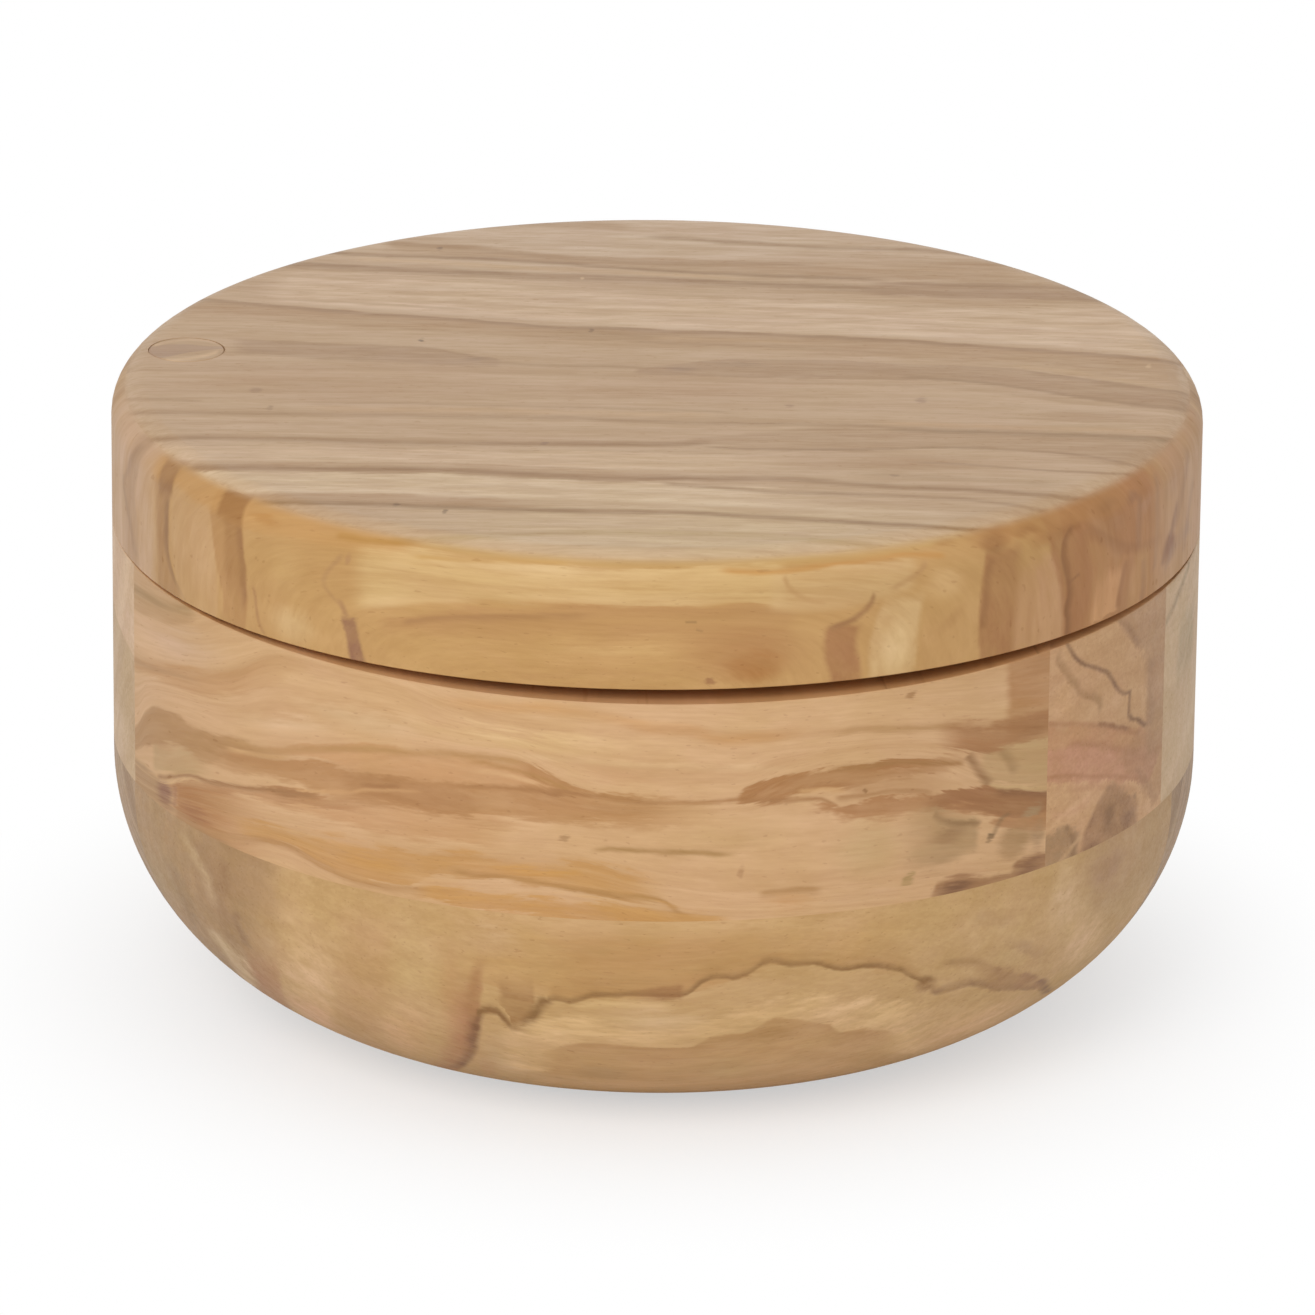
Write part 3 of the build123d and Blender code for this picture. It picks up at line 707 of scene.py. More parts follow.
face.spot((-53.1, 31), (1.5, 2.1), (146, 102, 78), 0.95, core=0.2)
face.vein([(-51.9, 32.8), (-51.85, 31.4), (-52, 30)],
          (166, 118, 86), 0.7, width=0.3, fade=(0.4, 0.4), turn=-90)
# Ochre bands under the dark line, each with its own thin edge.
face.band([(-46, 31.4), (-42, 31.6), (-39, 31.9), (-36, 31.4), (-32, 30.6), (-27, 30.6), (-22, 33.2),
           (-16, 33.2), (-10, 32.8), (-4, 32.2), (2, 31.4)],
          [(-46, 32.4), (-42, 33), (-38, 33.3), (-33, 33.6), (-28, 34.1), (-22, 34.5), (-15, 35.1),
           (-10, 35.2), (-5, 34.6), (2, 33.2)], (198, 151, 96), 0.95, below=0.4, above=0.8, fade=(3, 5))
face.spot((-12, 34.2), (7, 1.0), (203, 152, 84), 0.9)
face.spot((-30, 32.4), (6, 1.4), (199, 150, 86))
face.vein([(-49, 29.9), (-46, 30.3), (-43.6, 30.9), (-41.6, 31.5), (-39.4, 31.7), (-37.4, 31.4), (-35, 30.8),
           (-32.6, 30.3), (-29, 30.1), (-26, 30.2), (-23, 30.6), (-18, 31)],
          (178, 134, 87), width=0.4, below=0.7, fade=(2, 4))
face.spot((-23.5, 31.8), (5, 0.9), (209, 166, 120), 0.9)
face.spot((8, 38.6), (9, 2.4), (199, 161, 115), 0.7)
face.vein([(-22, 33.3), (-19, 33.1), (-16, 33.2), (-12, 33), (-8, 32.5), (-4, 32.1), (0, 31.7), (1.6, 31.2),
           (2.6, 30.3), (4, 29.6), (6, 28.8)], (178, 134, 80), 0.9, width=0.45, fade=(2, 1))
face.spot((3, 30), (2.2, 1.0), (184, 140, 84), turn=-35)
face.band([(-26, 29.7), (-20, 29.6), (-12, 29.4), (-7, 28.8), (-2, 28), (9, 27.6)],
          [(-26, 30.4), (-20, 31), (-12, 31), (-6, 30.9), (0, 30.6), (4, 30.2), (9, 29.4)],
          (199, 151, 92), 0.95, below=0.4, fade=(3, 3))
face.spot((-18, 38.9), (6, 0.8), (188, 142, 98), 0.6)
face.spot((-9.3, 38.4), (0.8, 0.35), (160, 122, 82), core=0.3)
face.vein([(-7, 36.9), (-4.4, 37.3), (-1.6, 37.1), (2, 37), (5, 36.8), (7.6, 36.6), (9.4, 36.7)],
          (170, 132, 82), 0.9, width=0.45, fade=(2.5, 3))
face.spot((9.4, 34.6), (0.5, 0.8), (184, 142, 102), core=0.3)
face.vein([(11, 32.1), (13, 32.3), (15.6, 32.3), (18.4, 32)],
          (182, 140, 92), 0.9, width=0.35, below=0.9, fade=(1, 1.5))
face.spot((14.5, 31), (4, 1.4), (202, 156, 106))
face.spot((22, 30.4), (6, 1.8), (209, 169, 130), core=0.2)
face.spot((23, 36), (5.5, 5), (201, 168, 122))
# Right of the middle the bands open again: a brown tongue, a pale wedge, and a long dark run to the joint.
face.band([(8.6, 42.6), (12, 42.6), (15.4, 43.3), (19, 43.4), (21, 43.7), (26, 44), (31, 43.7), (34, 43.4)],
          [(8.6, 42.9), (10.6, 44.1), (13, 44.7), (16, 45.3), (20, 45.5), (24, 45.4), (28, 45.1), (31, 44.8),
           (34, 44)], (172, 123, 76), 1.0, below=0.5, above=0.35, fade=(0.8, 6))
face.vein([(18, 45.4), (22, 45.3), (26, 45.1), (28.6, 44.5), (31, 44.1), (33.4, 43.6)],
          (166, 122, 74), 0.85, width=0.3, above=0.6, fade=(2, 1))
face.band([(20, 42.2), (24, 42), (28, 41.6), (32, 40.8)], [(20, 43.4), (24, 44), (28, 43.8), (32, 43)],
          (192, 149, 108), below=0.5, above=0.5, fade=(2, 3))
face.vein([(15, 43.3), (17, 43.3), (19, 43.2), (20.6, 42.9)], (206, 163, 116), 0.95, width=0.4, fade=(1, 0.8))
face.vein([(19, 42.3), (22, 42.1), (25, 42), (28, 41.7), (30, 41.2)],
          (172, 128, 84), 0.7, width=0.3, below=0.6)
face.vein([(9, 42.6), (12, 42.5), (15, 42.4), (17.4, 42.3), (18.8, 41.7), (20, 41)],
          (166, 120, 76), 0.7, width=0.35)
face.band([(16, 42), (18.4, 41.2), (20.4, 40.2), (24, 39.8), (28, 40.2), (31, 39.4), (33, 38.7),
           (35.4, 37.8), (36.6, 36.7), (38, 35.5), (42.4, 34)],
          [(16, 41.6), (20, 41.1), (24, 41.1), (27.6, 41), (29.4, 40.9), (32, 40.8), (34.4, 40.4),
           (36, 40.1), (37.6, 39.3), (40, 38.6), (42.4, 37.7)],
          (178, 130, 86), 1.0, below=0.8, above=0.3, fade=(2, 0.1))
face.band([(28, 40.2), (32, 39.4), (35, 38.3), (37, 36.8), (42.4, 35.8)],
          [(28, 41), (30, 41), (33, 40.5), (36, 39.9), (38, 39.1), (42.4, 37.6)],
          (160, 112, 72), 0.85, above=0.3, fade=(3, 0.1))
face.vein([(36, 40.1), (37.4, 39.4), (38.6, 39.1), (40, 38.6), (42.4, 37.7)],
          (138, 94, 60), below=0.8, above=0.25, fade=(1.5, 0.1))
face.vein([(35.6, 40.7), (37, 39.9), (38.4, 39.5), (40, 39), (42.4, 38.1)],
          (208, 174, 126), width=0.35, fade=(0.6, 0.1))
face.spot((40.6, 36.2), (1.5, 1.0), (178, 150, 114), 0.85, core=0.3)
face.vein([(28, 42.6), (31, 42), (34, 41.2), (35.4, 40.8)], (204, 164, 120), 0.6, fade=(2, 0.8))
face.vein([(22.2, 42.9), (22.7, 42.3)], (150, 108, 66), width=0.3, fade=(0.2, 0.2), turn=-50)
face.band([(32, 46.4), (34, 45), (37, 44.6), (40, 45)],
          [(32, 48), (34, 47.4), (36, 46.6), (38, 46), (40, 45.6)],
          (168, 122, 80), below=0.7, above=0.5, fade=(1.5, 2))
face.band([(34.4, 41.4), (37, 40.6), (42.4, 39)], [(34.4, 43.6), (36.6, 44.2), (39, 44.2), (42.4, 44.1)],
          (196, 161, 116), 0.9, fade=(1.2, 0.1))
face.vein([(33.2, 44.6), (34, 43.4), (34.9, 41.8), (36, 40.2)],
          (154, 114, 74), width=0.55, above=0.8, fade=(0.5, 0.8), turn=-60)
face.vein([(36.8, 44.6), (37.6, 43.2), (38.1, 42), (38.6, 40.6)],
          (168, 133, 90), 0.75, width=0.6, above=0.9, fade=(0.8, 1.2), turn=-70)
face.band([(38, 56), (38.2, 50), (38.6, 45)], [(44, 56), (44, 45)],
          (182, 134, 88), 0.9, below=0.9, fade=(0.6, 0.1), turn=90)
face.band([(29.4, 47.4), (32, 45.9), (35, 44.9), (42.4, 44.4)],
          [(29.4, 48), (33, 48.1), (35, 47.3), (37.6, 46.9), (42.4, 47.1)],
          (172, 123, 80), 0.85, above=0.9, fade=(3.5, 0.1))
face.spot((40.2, 45.4), (2.8, 1.0), (156, 108, 66), 0.6)
face.spot((27.2, 53), (0.7, 0.5), (156, 111, 66), 0.85, core=0.3)
# Grey spalting at the lower right.
face.band([(25, 33.4), (31, 33.6), (34.6, 34.6)], [(25, 38), (29, 39.4), (32, 38), (35, 36.4)],
          (176, 143, 102), 0.85, below=1.6, above=0.8, fade=(6, 0.8))
face.spot((31.4, 36), (2.6, 1.6), (150, 112, 74), 0.7)
face.spot((28.6, 34.6), (2.2, 1.6), (184, 150, 106), 0.6)
face.vein([(29.8, 38.8), (31, 37.8), (32.4, 37), (33.6, 36.8), (35.2, 36.4)],
          (142, 108, 70), 0.7, fade=(0.4, 0.6), turn=-30)
face.spot((36, 34.6), (0.6, 0.6), (132, 104, 70), 0.9, core=0.3)
face.spot((27.3, 31.7), (0.9, 0.6), (168, 140, 88), core=0.3)
face.spot((38.8, 33.4), (2.6, 2.4), (172, 136, 92), 0.9, core=0.4)
face.vein([(36.2, 34.6), (37.2, 36.2), (38.4, 36.9)],
          (140, 110, 74), 0.6, width=0.4, fade=(0.5, 0.5), turn=40)
face.spot((41.2, 33), (1.2, 2), (164, 130, 92), 0.7, core=0.3)
face.band([(29.4, 27), (42.4, 27)],
          [(29.6, 29.2), (30.6, 30.6), (32.4, 30.9), (34.6, 30.4), (36, 29.6), (38, 29.4), (39.4, 30.6),
           (41, 30.6), (42.4, 30)], (162, 119, 80), 0.9, above=0.8, fade=(0.9, 0.1))
face.spot((32.3, 29.6), (2.8, 1.3), (122, 84, 56), 0.85)
face.spot((40.3, 29.7), (2.3, 1.3), (130, 88, 60), 0.85)
figured = front_block.bare_inside(face.colour, (220, 174, 128), (206, 158, 112), (160, 116, 76))
dress("front_block", front_block.finished(front_block.surface(figured, growth=0.6, fibre=0.34, cloud=0.55)))


# --- Front end block -------------------------------------------------------------------------------
# The short block glued on at the right end of the front strip. Two wriggling spalt lines run down it,
# over a pink band, and there is a grey patch against the right-hand joint.

end_block = Wood("olive_front_end_block")
end_block.grow(end_block.rings(heart=(2, -20, -60), waver=6), 0.3, seed=(33, 90, -25))
face = end_block.figure(
    end_block.x, end_block.z, (211, 168, 128), ripple=0.6, ragged=0.9, soft=1.2, streaked=0.4
)
face.band([(40, 46), (46, 43.8), (50, 41.4), (53, 39), (56, 35)], [(40, 58), (58, 58)],
          (200, 158, 118), 0.7, below=0.4)
face.spot((43.8, 47), (2, 3), (220, 176, 136), 0.7)
# A tan band over a pink one, each with a thin edge, that runs down to the right.
face.band([(40, 42.4), (46, 40.6), (50, 38.4), (54, 35.6)],
          [(40, 45.4), (44, 44.2), (48, 42.5), (51, 40.6), (56, 36.8)],
          (194, 144, 104), 0.85, below=1.2, turn=-30)
face.band([(40, 39.6), (46, 37.6), (50, 35.8), (54, 33.2)], [(40, 42.8), (46, 40.8), (50, 38.6), (54, 35.8)],
          (200, 148, 117), 0.9, above=0.9, turn=-30)
face.vein([(42, 45.5), (44, 44.9), (46, 44.0), (48, 42.9), (49.4, 41.9), (51, 40.6), (53, 39)],
          (180, 130, 92), 0.7, width=0.45, fade=(0.1, 1), turn=-30)
face.vein([(47.6, 43.4), (49, 42.4), (50.6, 41.2), (51.6, 40.4)],
          (152, 108, 74), width=0.35, fade=(0.6, 0.8), turn=-40)
face.vein([(44, 42.4), (47, 41.2), (50, 39.2), (53, 36.8)],
          (178, 128, 92), 0.6, width=0.6, fade=(1.5, 1), turn=-30)
face.vein([(42, 39.4), (44, 38.8), (46, 38), (48, 37.1), (50, 36), (52, 34.6), (54, 33)],
          (184, 134, 98), width=0.35, fade=(0.1, 1), turn=-28)
face.vein([(44, 37.2), (47, 36.3), (50, 34.8), (53, 32.6)], (192, 143, 106), 0.5, fade=(1, 2), turn=-30)
face.vein([(42.4, 34.8), (45, 34.4), (47.4, 35.2)], (216, 170, 136), 0.7, width=0.8, fade=(0.6, 1))
# Brown streaks beside the right-hand joint.
face.band([(53.9, 34), (54, 42), (53.6, 48), (52.2, 50.4), (50.6, 55)], [(57, 34), (57, 55)],
          (182, 144, 110), below=0.9, fade=(3, 0.1), turn=90)
face.vein([(53.6, 39), (53.7, 42), (53.8, 45), (53.5, 48)],
          (164, 126, 96), 0.5, above=0.9, fade=(1, 2), turn=90)
face.vein([(49.6, 54.6), (50.6, 53), (51.6, 51), (52.6, 49.4)], (158, 118, 84), 0.75, fade=(0.1, 1), turn=-60)
face.band([(50.6, 38), (53, 34), (55, 30)], [(52, 40), (54.6, 36), (56.6, 32)],
          (172, 130, 94), 0.45, below=0.8, above=0.8, fade=(1, 0.1), turn=-50)
face.vein([(52.2, 36), (53.6, 33), (54.8, 30)], (156, 118, 86), 0.25, fade=(0.6, 0.4), turn=-60)
# Brown and grey stains at the foot.
face.band([(42, 27), (45.8, 27)], [(42, 32.2), (44, 32.2), (46.4, 31)],
          (172, 137, 102), 0.9, above=0.9, fade=(0.1, 0.8))
face.vein([(44.2, 33.2), (45.0, 31.8), (45.4, 30), (45.2, 28.6)],
          (144, 110, 76), 0.6, fade=(0.5, 0.5), turn=-75)
face.band([(46, 27), (53, 27)], [(46, 30), (47.2, 32), (48.6, 34.4), (49.6, 34.8), (51.2, 33.2), (53, 30.6)],
          (166, 126, 92), 0.9, above=1.0, fade=(0.8, 1))
face.spot((47.4, 29.2), (1.8, 1.2), (140, 100, 70))
face.spot((51.4, 30.2), (1.0, 2.4), (140, 102, 74), 0.7)
face.spot((49.4, 31.4), (1.0, 2.6), (142, 106, 74), 0.7)
face.vein([(43.6, 28.6), (44.4, 29.6), (46.4, 31.2)], (206, 168, 128), width=0.4, fade=(0.3, 0.3), turn=40)
# The two wriggling spalt lines.
face.vein([(43.0, 53.4), (43.2, 52), (43.9, 50.8), (44.4, 49.6), (45.2, 48.6), (45.8, 47.5), (46.6, 46.9),
           (47.4, 46.2), (47.9, 45.2), (47.9, 43.9)],
          (174, 134, 94), 0.85, width=0.45, above=0.7, fade=(0.6, 1), turn=-45)
face.vein([(43.8, 55), (44.2, 54), (44.6, 52.9), (45, 52), (45.6, 51.1), (46.4, 50.4), (47.2, 50),
           (48, 49.3), (48.8, 48.6), (49.2, 47.5), (50, 46.1), (50.7, 45.3), (51.4, 45), (51.5, 44.4),
           (51.3, 43.4), (51.3, 42.2), (51.6, 41.6), (52.2, 41.2), (52.9, 40.3), (53.6, 39.6)],
          (146, 108, 78), 0.9, width=0.35, fade=(0.1, 0.6), turn=-45)
figured = end_block.bare_inside(face.colour, (218, 174, 132), (204, 156, 116), (158, 116, 80))
dress("front_end_block", end_block.finished(end_block.surface(figured, growth=0.7, fibre=0.36, cloud=0.6)))


# --- Left and right blocks -------------------------------------------------------------------------
# The two short blocks, glued on the middle board, that close the ring of the upper layer. Both are pale:
# the left one is pink over a darker, greener half, and the right one is cream with a grey streak.

left_block = Wood("olive_left_block")
left_block.grow(left_block.rings(heart=(-200, 10, 60), waver=10), 0.12, seed=(5, -30, 60))
face = left_block.figure(left_block.y, left_block.z, (208, 178, 144))
face.band([(-22, 43), (-12, 44.4), (20, 47)], [(-22, 57), (20, 57)], (219, 184, 152), 1.0, below=0.5)
face.band([(-22, 36), (20, 39)], [(-22, 43.4), (-12, 44.6), (20, 47)],
          (190, 158, 118), 0.9, below=3.5, above=0.4)
natural = left_block.natural((210, 182, 150), (184, 150, 114), (150, 118, 86))
figured = stain(left_block.tree, face.colour, natural, 0.3)
figured = left_block.bare_inside(figured, (220, 182, 142), (206, 162, 120), (160, 122, 84))
dress("left_block", left_block.finished(left_block.surface(figured)))

right_block = Wood("olive_right_block")
right_block.grow(right_block.rings(heart=(200, -20, 60), waver=10), 0.12, seed=(70, 20, -30))
face = right_block.figure(right_block.y, right_block.z, (210, 179, 145))
face.vein([(-23, 50), (-19, 52), (-14, 54)], (160, 136, 104), width=1.0, fade=(0.1, 0.1))
face.band([(-18, 40), (-17, 50)], [(-12, 40), (-11, 50)],
          (176, 153, 120), below=2, above=2, fade=(4, 3), turn=90)
natural = right_block.natural((206, 178, 142), (180, 148, 110), (148, 116, 82))
figured = stain(right_block.tree, face.colour, natural, 0.3)
figured = right_block.bare_inside(figured, (220, 180, 138), (204, 160, 116), (160, 120, 82))
dress("right_block", right_block.finished(right_block.surface(figured)))


# --- Rear block ------------------------------------------------------------------------------------
# The block at the back of the upper layer, glued down on the rear board and against both short blocks.
# It is olive heartwood, with its usual banded figure.

rear_block = Wood("olive_rear_block")
rear_block.grow(rear_block.rings(heart=(-20, 10, 120), waver=11), 0.12, seed=(44, 0, 90))
figured = rear_block.natural((214, 175, 128), (188, 144, 96), (142, 100, 62))
figured = rear_block.bare_inside(figured, (222, 178, 130), (204, 158, 110), (164, 120, 78))
dress("rear_block", rear_block.finished(rear_block.surface(figured, growth=0.2)))


# --- Lid -------------------------------------------------------------------------------------------
# One disc of olive wood that turns on the pivot's screw, its grain running along X. Growth lines cross
# its top from left to right and turn down over the rounded edge; the front of its edge is cut along
# them and shows their broad figure.

lid = Wood("olive_lid")
tree = lid.tree
lid_top, straight_edge_top = 69.8, 66.0  # the rounding lies between the two
off_axis = distance_off_axis(tree, lid.x, lid.y)
on_edge = ease(tree, off_axis, turned_radius - 2.1, turned_radius - 0.9)
below_rounding = ease(tree, lid.z, straight_edge_top - 6.0, straight_edge_top, 1.0, 0.0)
on_edge = reckon(tree, "MAXIMUM", on_edge, below_rounding)
bearing = reckon(tree, "ARCTAN2", lid.x, reckon(tree, "MULTIPLY", lid.y, -1.0))
bearing = reckon(tree, "MULTIPLY", bearing, math.degrees(1.0))
runs = [
    (-57, [(-60, -54), (0, -56), (60, -60)]),
    (-45, [(-60, -43), (-28, -43.5), (0, -45), (30, -49), (60, -54)]),
    (-34, [(-60, -32), (-26, -32), (0, -34.3), (26, -36.2), (60, -42)]),
    (-23, [(-60, -23), (-44, -22.2), (-14, -23.3), (6, -22.4), (24, -19), (60, -21)]),
    (-14, [(-60, -14), (-24, -14.1), (10, -15.5), (60, -18)]),
    (3, [(-60, 4), (-30, 5.4), (0, 2.5), (30, 1), (48, -6), (60, -10)]),
    (17, [(-60, 27), (-38, 22.8), (-16, 18.2), (0, 16.5), (26, 14), (60, 6.6)]),
    (36, [(-60, 42), (-30, 38), (0, 35), (30, 31.5), (60, 29)]),
    (56, [(-60, 58), (0, 55), (60, 46)]),
]
# The layers dip towards the back, so on the rounded edge they are met a little further forward.
dip = 2.4  # millimetres forward for each one down
along_dip = reckon(tree, "MULTIPLY_ADD", reckon(tree, "SUBTRACT", lid.z, lid_top), dip, lid.y)
top_layer = lid.levelled(lid.x, along_dip, runs)
# On the edge the layers arch over the front, and stand upright to its left and right.
arch_middle, arch_foot = -8.0, 51.0  # a bearing in degrees, and a height in millimetres
arch_narrowness, arch_squareness = 0.42, 4.0  # a squareness of 2 would make it round
arch_radius = 24.0  # at which fibres round the arch are as long as they are elsewhere
arch_across = reckon(tree, "MULTIPLY", reckon(tree, "SUBTRACT", bearing, arch_middle), arch_narrowness)
arch_height = reckon(tree, "SUBTRACT", lid.z, arch_foot)
arch = reckon(tree, "POWER", reckon(tree, "ABSOLUTE", arch_across), arch_squareness)
arch = reckon(tree, "ADD", arch, reckon(tree, "POWER", arch_height, arch_squareness))
edge_layer = reckon(tree, "POWER", arch, 1 / arch_squareness)
edge_grain = reckon(tree, "GREATER_THAN", on_edge, 0.5)
layer = reckon(tree, "MULTIPLY_ADD", edge_grain, reckon(tree, "SUBTRACT", edge_layer, top_layer), top_layer)
around_arch = reckon(tree, "ARCTAN2", arch_height, arch_across)
edge_place = tree.nodes.new("ShaderNodeCombineXYZ")
feed(tree, reckon(tree, "MULTIPLY", around_arch, arch_radius), edge_place.inputs[0])
feed(tree, edge_layer, edge_place.inputs[2])
# Inputs 4 and 5 and output 1 of a mix node are the ones for places.
grain_place = tree.nodes.new("ShaderNodeMix")
grain_place.data_type = "VECTOR"
feed(tree, edge_grain, grain_place.inputs["Factor"])
feed(tree, lid.place, grain_place.inputs[4])
feed(tree, edge_place.outputs[0], grain_place.inputs[5])
lid.grow(layer, 0.28, place=grain_place.outputs[1])
# The top is laid on a greyer ground than the edge. The grey is a painted sheen, the pale surround seen in the
# oiled top at a low angle, over the wood's own tan.
top = lid.figure(lid.x, along_dip, (200, 169, 137), ripple=0.8, ragged=1.2, soft=1.8, streaked=0.6)
top.spot((4, -4), (22, 6), (180, 142, 104), 0.55)
top.spot((-35, -3), (30, 9), (186, 150, 114), 0.7)
top.spot((5, -52), (44, 17), (213, 186, 150), 0.85, core=0.2)
top.spot((0, 52), (64, 24), (214, 188, 163), core=0.2)
top.band([(-55, -29.4), (0, -30.8), (20, -30)], [(-55, -25.4), (0, -26.6), (20, -27)],
         (215, 185, 153), 0.85, below=0.8, above=1, fade=(1, 20))
top.band([(-50, -39.6), (-20, -40), (22, -43.4)], [(-50, -33.8), (-20, -34), (0, -36), (22, -39)],
         (221, 194, 161), 0.85, below=0.8, above=0.8, fade=(1, 16))
top.spot((47, -12), (9, 3), (178, 141, 104), 0.6)
top.spot((26, -28.6), (18, 4), (178, 141, 102), 0.7)
top.band([(-46, 26.4), (-20, 22), (0, 18), (20, 16.6), (40, 13.6), (58, 10)],
         [(-46, 33), (-20, 31), (0, 26), (30, 24.4), (54, 24)],
         (220, 191, 162), 0.85, below=1, above=3, fade=(5, 4))
# Back lines.
line_dark, line_mid, shade = (166, 132, 97), (176, 142, 106), (184, 149, 112)
top.vein([(-24, 54.6), (-14, 55), (-8, 54.6), (-2, 54)], shade, 0.7, width=1.3, fade=(4, 4))
top.vein([(-3, 50.6), (3, 50), (8, 49), (13, 48.2), (18, 47.5), (24, 47.1), (30, 46.6), (38, 44.5)],
         line_dark, 0.9, width=0.8, fade=(5, 1))
top.band([(-32, 45.4), (-22, 43.6), (-12, 40.6), (0, 38.4), (14, 37.2), (30, 36.4), (42, 35)],
         [(-32, 47.4), (-24, 46.4), (-13, 43.5), (-5, 42.2), (5, 42), (20, 41.8), (42, 41.2)],
         shade, 0.75, above=0.8, fade=(3, 4))
top.vein([(-32, 47.3), (-27, 46.5), (-22, 45.5), (-17, 44.2), (-12, 42.6), (-5, 41.6), (2, 41), (12, 41.2),
          (20, 40.8)], line_mid, width=0.9, fade=(2, 5))
top.vein([(-40, 43.6), (-33, 42.8), (-27, 42.4), (-21, 41.9), (-14, 40.9), (-8, 39.7), (-2, 38.6), (4, 37.5),
          (10, 36.9), (18, 36.2), (27, 35.5)], line_dark, 0.95, width=0.65, fade=(1, 4))
top.vein([(-36, 41.4), (-26, 40.4), (-16, 38.6), (-6, 37.4), (2, 36.4), (12, 35.4)],
         (209, 177, 141), width=0.8, fade=(3, 5))
top.vein([(-44, 39.8), (-37, 38.8), (-30, 37.9), (-22, 37), (-15, 36), (-8, 35.5), (0, 35), (8, 34),
          (16, 33.5), (23, 32.5), (30, 31.4), (38, 30.8), (52, 29.8)], line_dark, 0.95, width=0.8, below=1.4)
top.band([(22, 30.4), (34, 30), (52, 29)], [(22, 33.6), (30, 34.2), (40, 34), (52, 33.4)],
         (177, 143, 110), 0.85, below=0.5, above=0.7, fade=(4, 1))
top.vein([(26, 34.3), (33, 33.8), (40, 33.6), (50, 33)], line_dark, 0.7, fade=(3, 1))
top.spot((36, 27), (18, 3), (188, 154, 116), 0.7)
top.vein([(-46, 26.6), (-40, 26), (-30, 24.5), (-20, 23.2)], line_mid, 0.4, width=0.4, fade=(3, 4))
# The long band behind the middle, sharp along its back edge.
top.band([(-54, 22), (-46, 21.4), (-36, 18.4), (-26, 16.8), (-16, 14.6), (-8, 12.6), (2, 11), (14, 10.4),
          (24, 9.4), (34, 7.8), (46, 5), (58, 0)],
         [(-54, 26.6), (-47, 25), (-38, 22.8), (-30, 21.3), (-24, 20.3), (-16, 18.2), (-8, 17.2), (0, 16.5),
          (8, 16), (18, 15.1), (28, 13.7), (38, 11.7), (48, 10), (58, 7.2)],
         (187, 152, 115), below=1.6, above=0.3, fade=(1, 1))
top.vein([(-54, 26.8), (-47, 25), (-42, 23.8), (-36, 22.3), (-30, 21.2), (-24, 20.2), (-17, 18.5),
          (-10, 17.3), (-4, 17.2), (2, 16.3), (10, 15.8), (18, 15), (26, 14), (34, 12.5), (42, 10.9),
          (50, 9.4), (59, 6.6)], line_dark, 0.85, width=0.35, below=0.9)
top.spot((-4, 14.6), (11, 2.4), (176, 142, 103), 0.7)
top.vein([(-4, 12.2), (4, 11.6), (12, 11), (20, 10.2), (30, 8.8)], line_mid, 0.6, fade=(3, 5))
top.vein([(-2, 14), (8, 13.4), (18, 12.4)], (202, 168, 130), 0.5, width=0.6, fade=(3, 4))
# Two lens-shaped shadows, left and right, with a thin line between them.
top.band([(-48, 8.5), (-40, 6.6), (-30, 5.4), (-22, 4.6), (-17, 4.6)],
         [(-48, 12.4), (-42, 10.9), (-36, 10.1), (-30, 9.7), (-25, 8.8), (-21, 7), (-17, 4.9)],
         (178, 145, 114), below=1.2, above=0.5, fade=(3, 1))
top.vein([(-44, 11.2), (-38, 10.4), (-31, 9.8), (-26, 9), (-22, 7.7), (-19, 5.8)], line_mid, 0.7, fade=(2, 1))
top.spot((-20, 5.7), (2.4, 1.3), (166, 134, 104))
top.vein([(-20, 5), (-14, 4), (-8, 3.6), (-3, 3.4), (1, 2.4)], line_mid, 0.7, width=0.7)
top.band([(-3, 1.8), (6, 0.8), (14, 0.6), (24, 0.5), (33, 0), (39, -1.6), (45, -4.4), (52, -7.6), (60, -10)],
         [(-3, 2.4), (1, 4), (6, 5.6), (11, 6.5), (16, 6.2), (24, 5.6), (33, 4.9), (40, 3.4), (46, 1.2),
          (52, -1.2), (60, -4.4)], (180, 146, 113), 0.85, below=0.5, above=0.4, fade=(1, 1))
top.spot((2.6, 2.8), (2.6, 1.3), (160, 128, 101), 0.7)
top.spot((9, 4.8), (5, 1.2), (166, 133, 102), 0.7)
top.vein([(26, 1.1), (31, 0.6), (36, -0.8), (41, -2.8), (46, -5), (52, -7.4), (60, -9.6)],
         line_dark, 0.7, width=0.55, fade=(2, 0.5))
top.vein([(38, 5.6), (44, 3.7), (50, 1), (56, -1.6)], (200, 166, 127), 0.6, width=0.8, fade=(3, 2))
top.vein([(40, 3.4), (46, 1.2), (51, -1), (60, -4.2)], line_dark, 0.6, width=0.4, below=1, fade=(2, 0.5))
# The plain middle, then the lines in front of it.
top.vein([(-60, -9.3), (-54, -9.3), (-49, -9.8)], line_mid, 0.7, width=0.6, fade=(0.5, 2))
top.vein([(-40, -10), (-28, -9.8), (-14, -10.4), (0, -11), (4, -11.3), (9, -12)], line_mid, 0.6, fade=(5, 3))
top.vein([(-40, -11.8), (-20, -11.8), (-4, -12.8), (8, -13.4)], (204, 169, 130), 0.6, width=0.9, fade=(5, 4))
top.vein([(-60, -14), (-40, -13.9), (-24, -14.1), (-10, -14.2), (-4, -14.9), (4, -15.4), (14, -15.6),
          (24, -16), (32, -17.3)], line_mid, 0.75, width=0.65, fade=(0.5, 3))
top.band([(6, -22), (18, -24), (30, -22.8), (42, -24), (50, -27)],
         [(2, -21.6), (8, -19.8), (14, -18.2), (20, -16.6), (30, -16.6), (40, -17.4), (60, -19.6)],
         (181, 147, 112), 0.75, below=0.8, fade=(3, 1))
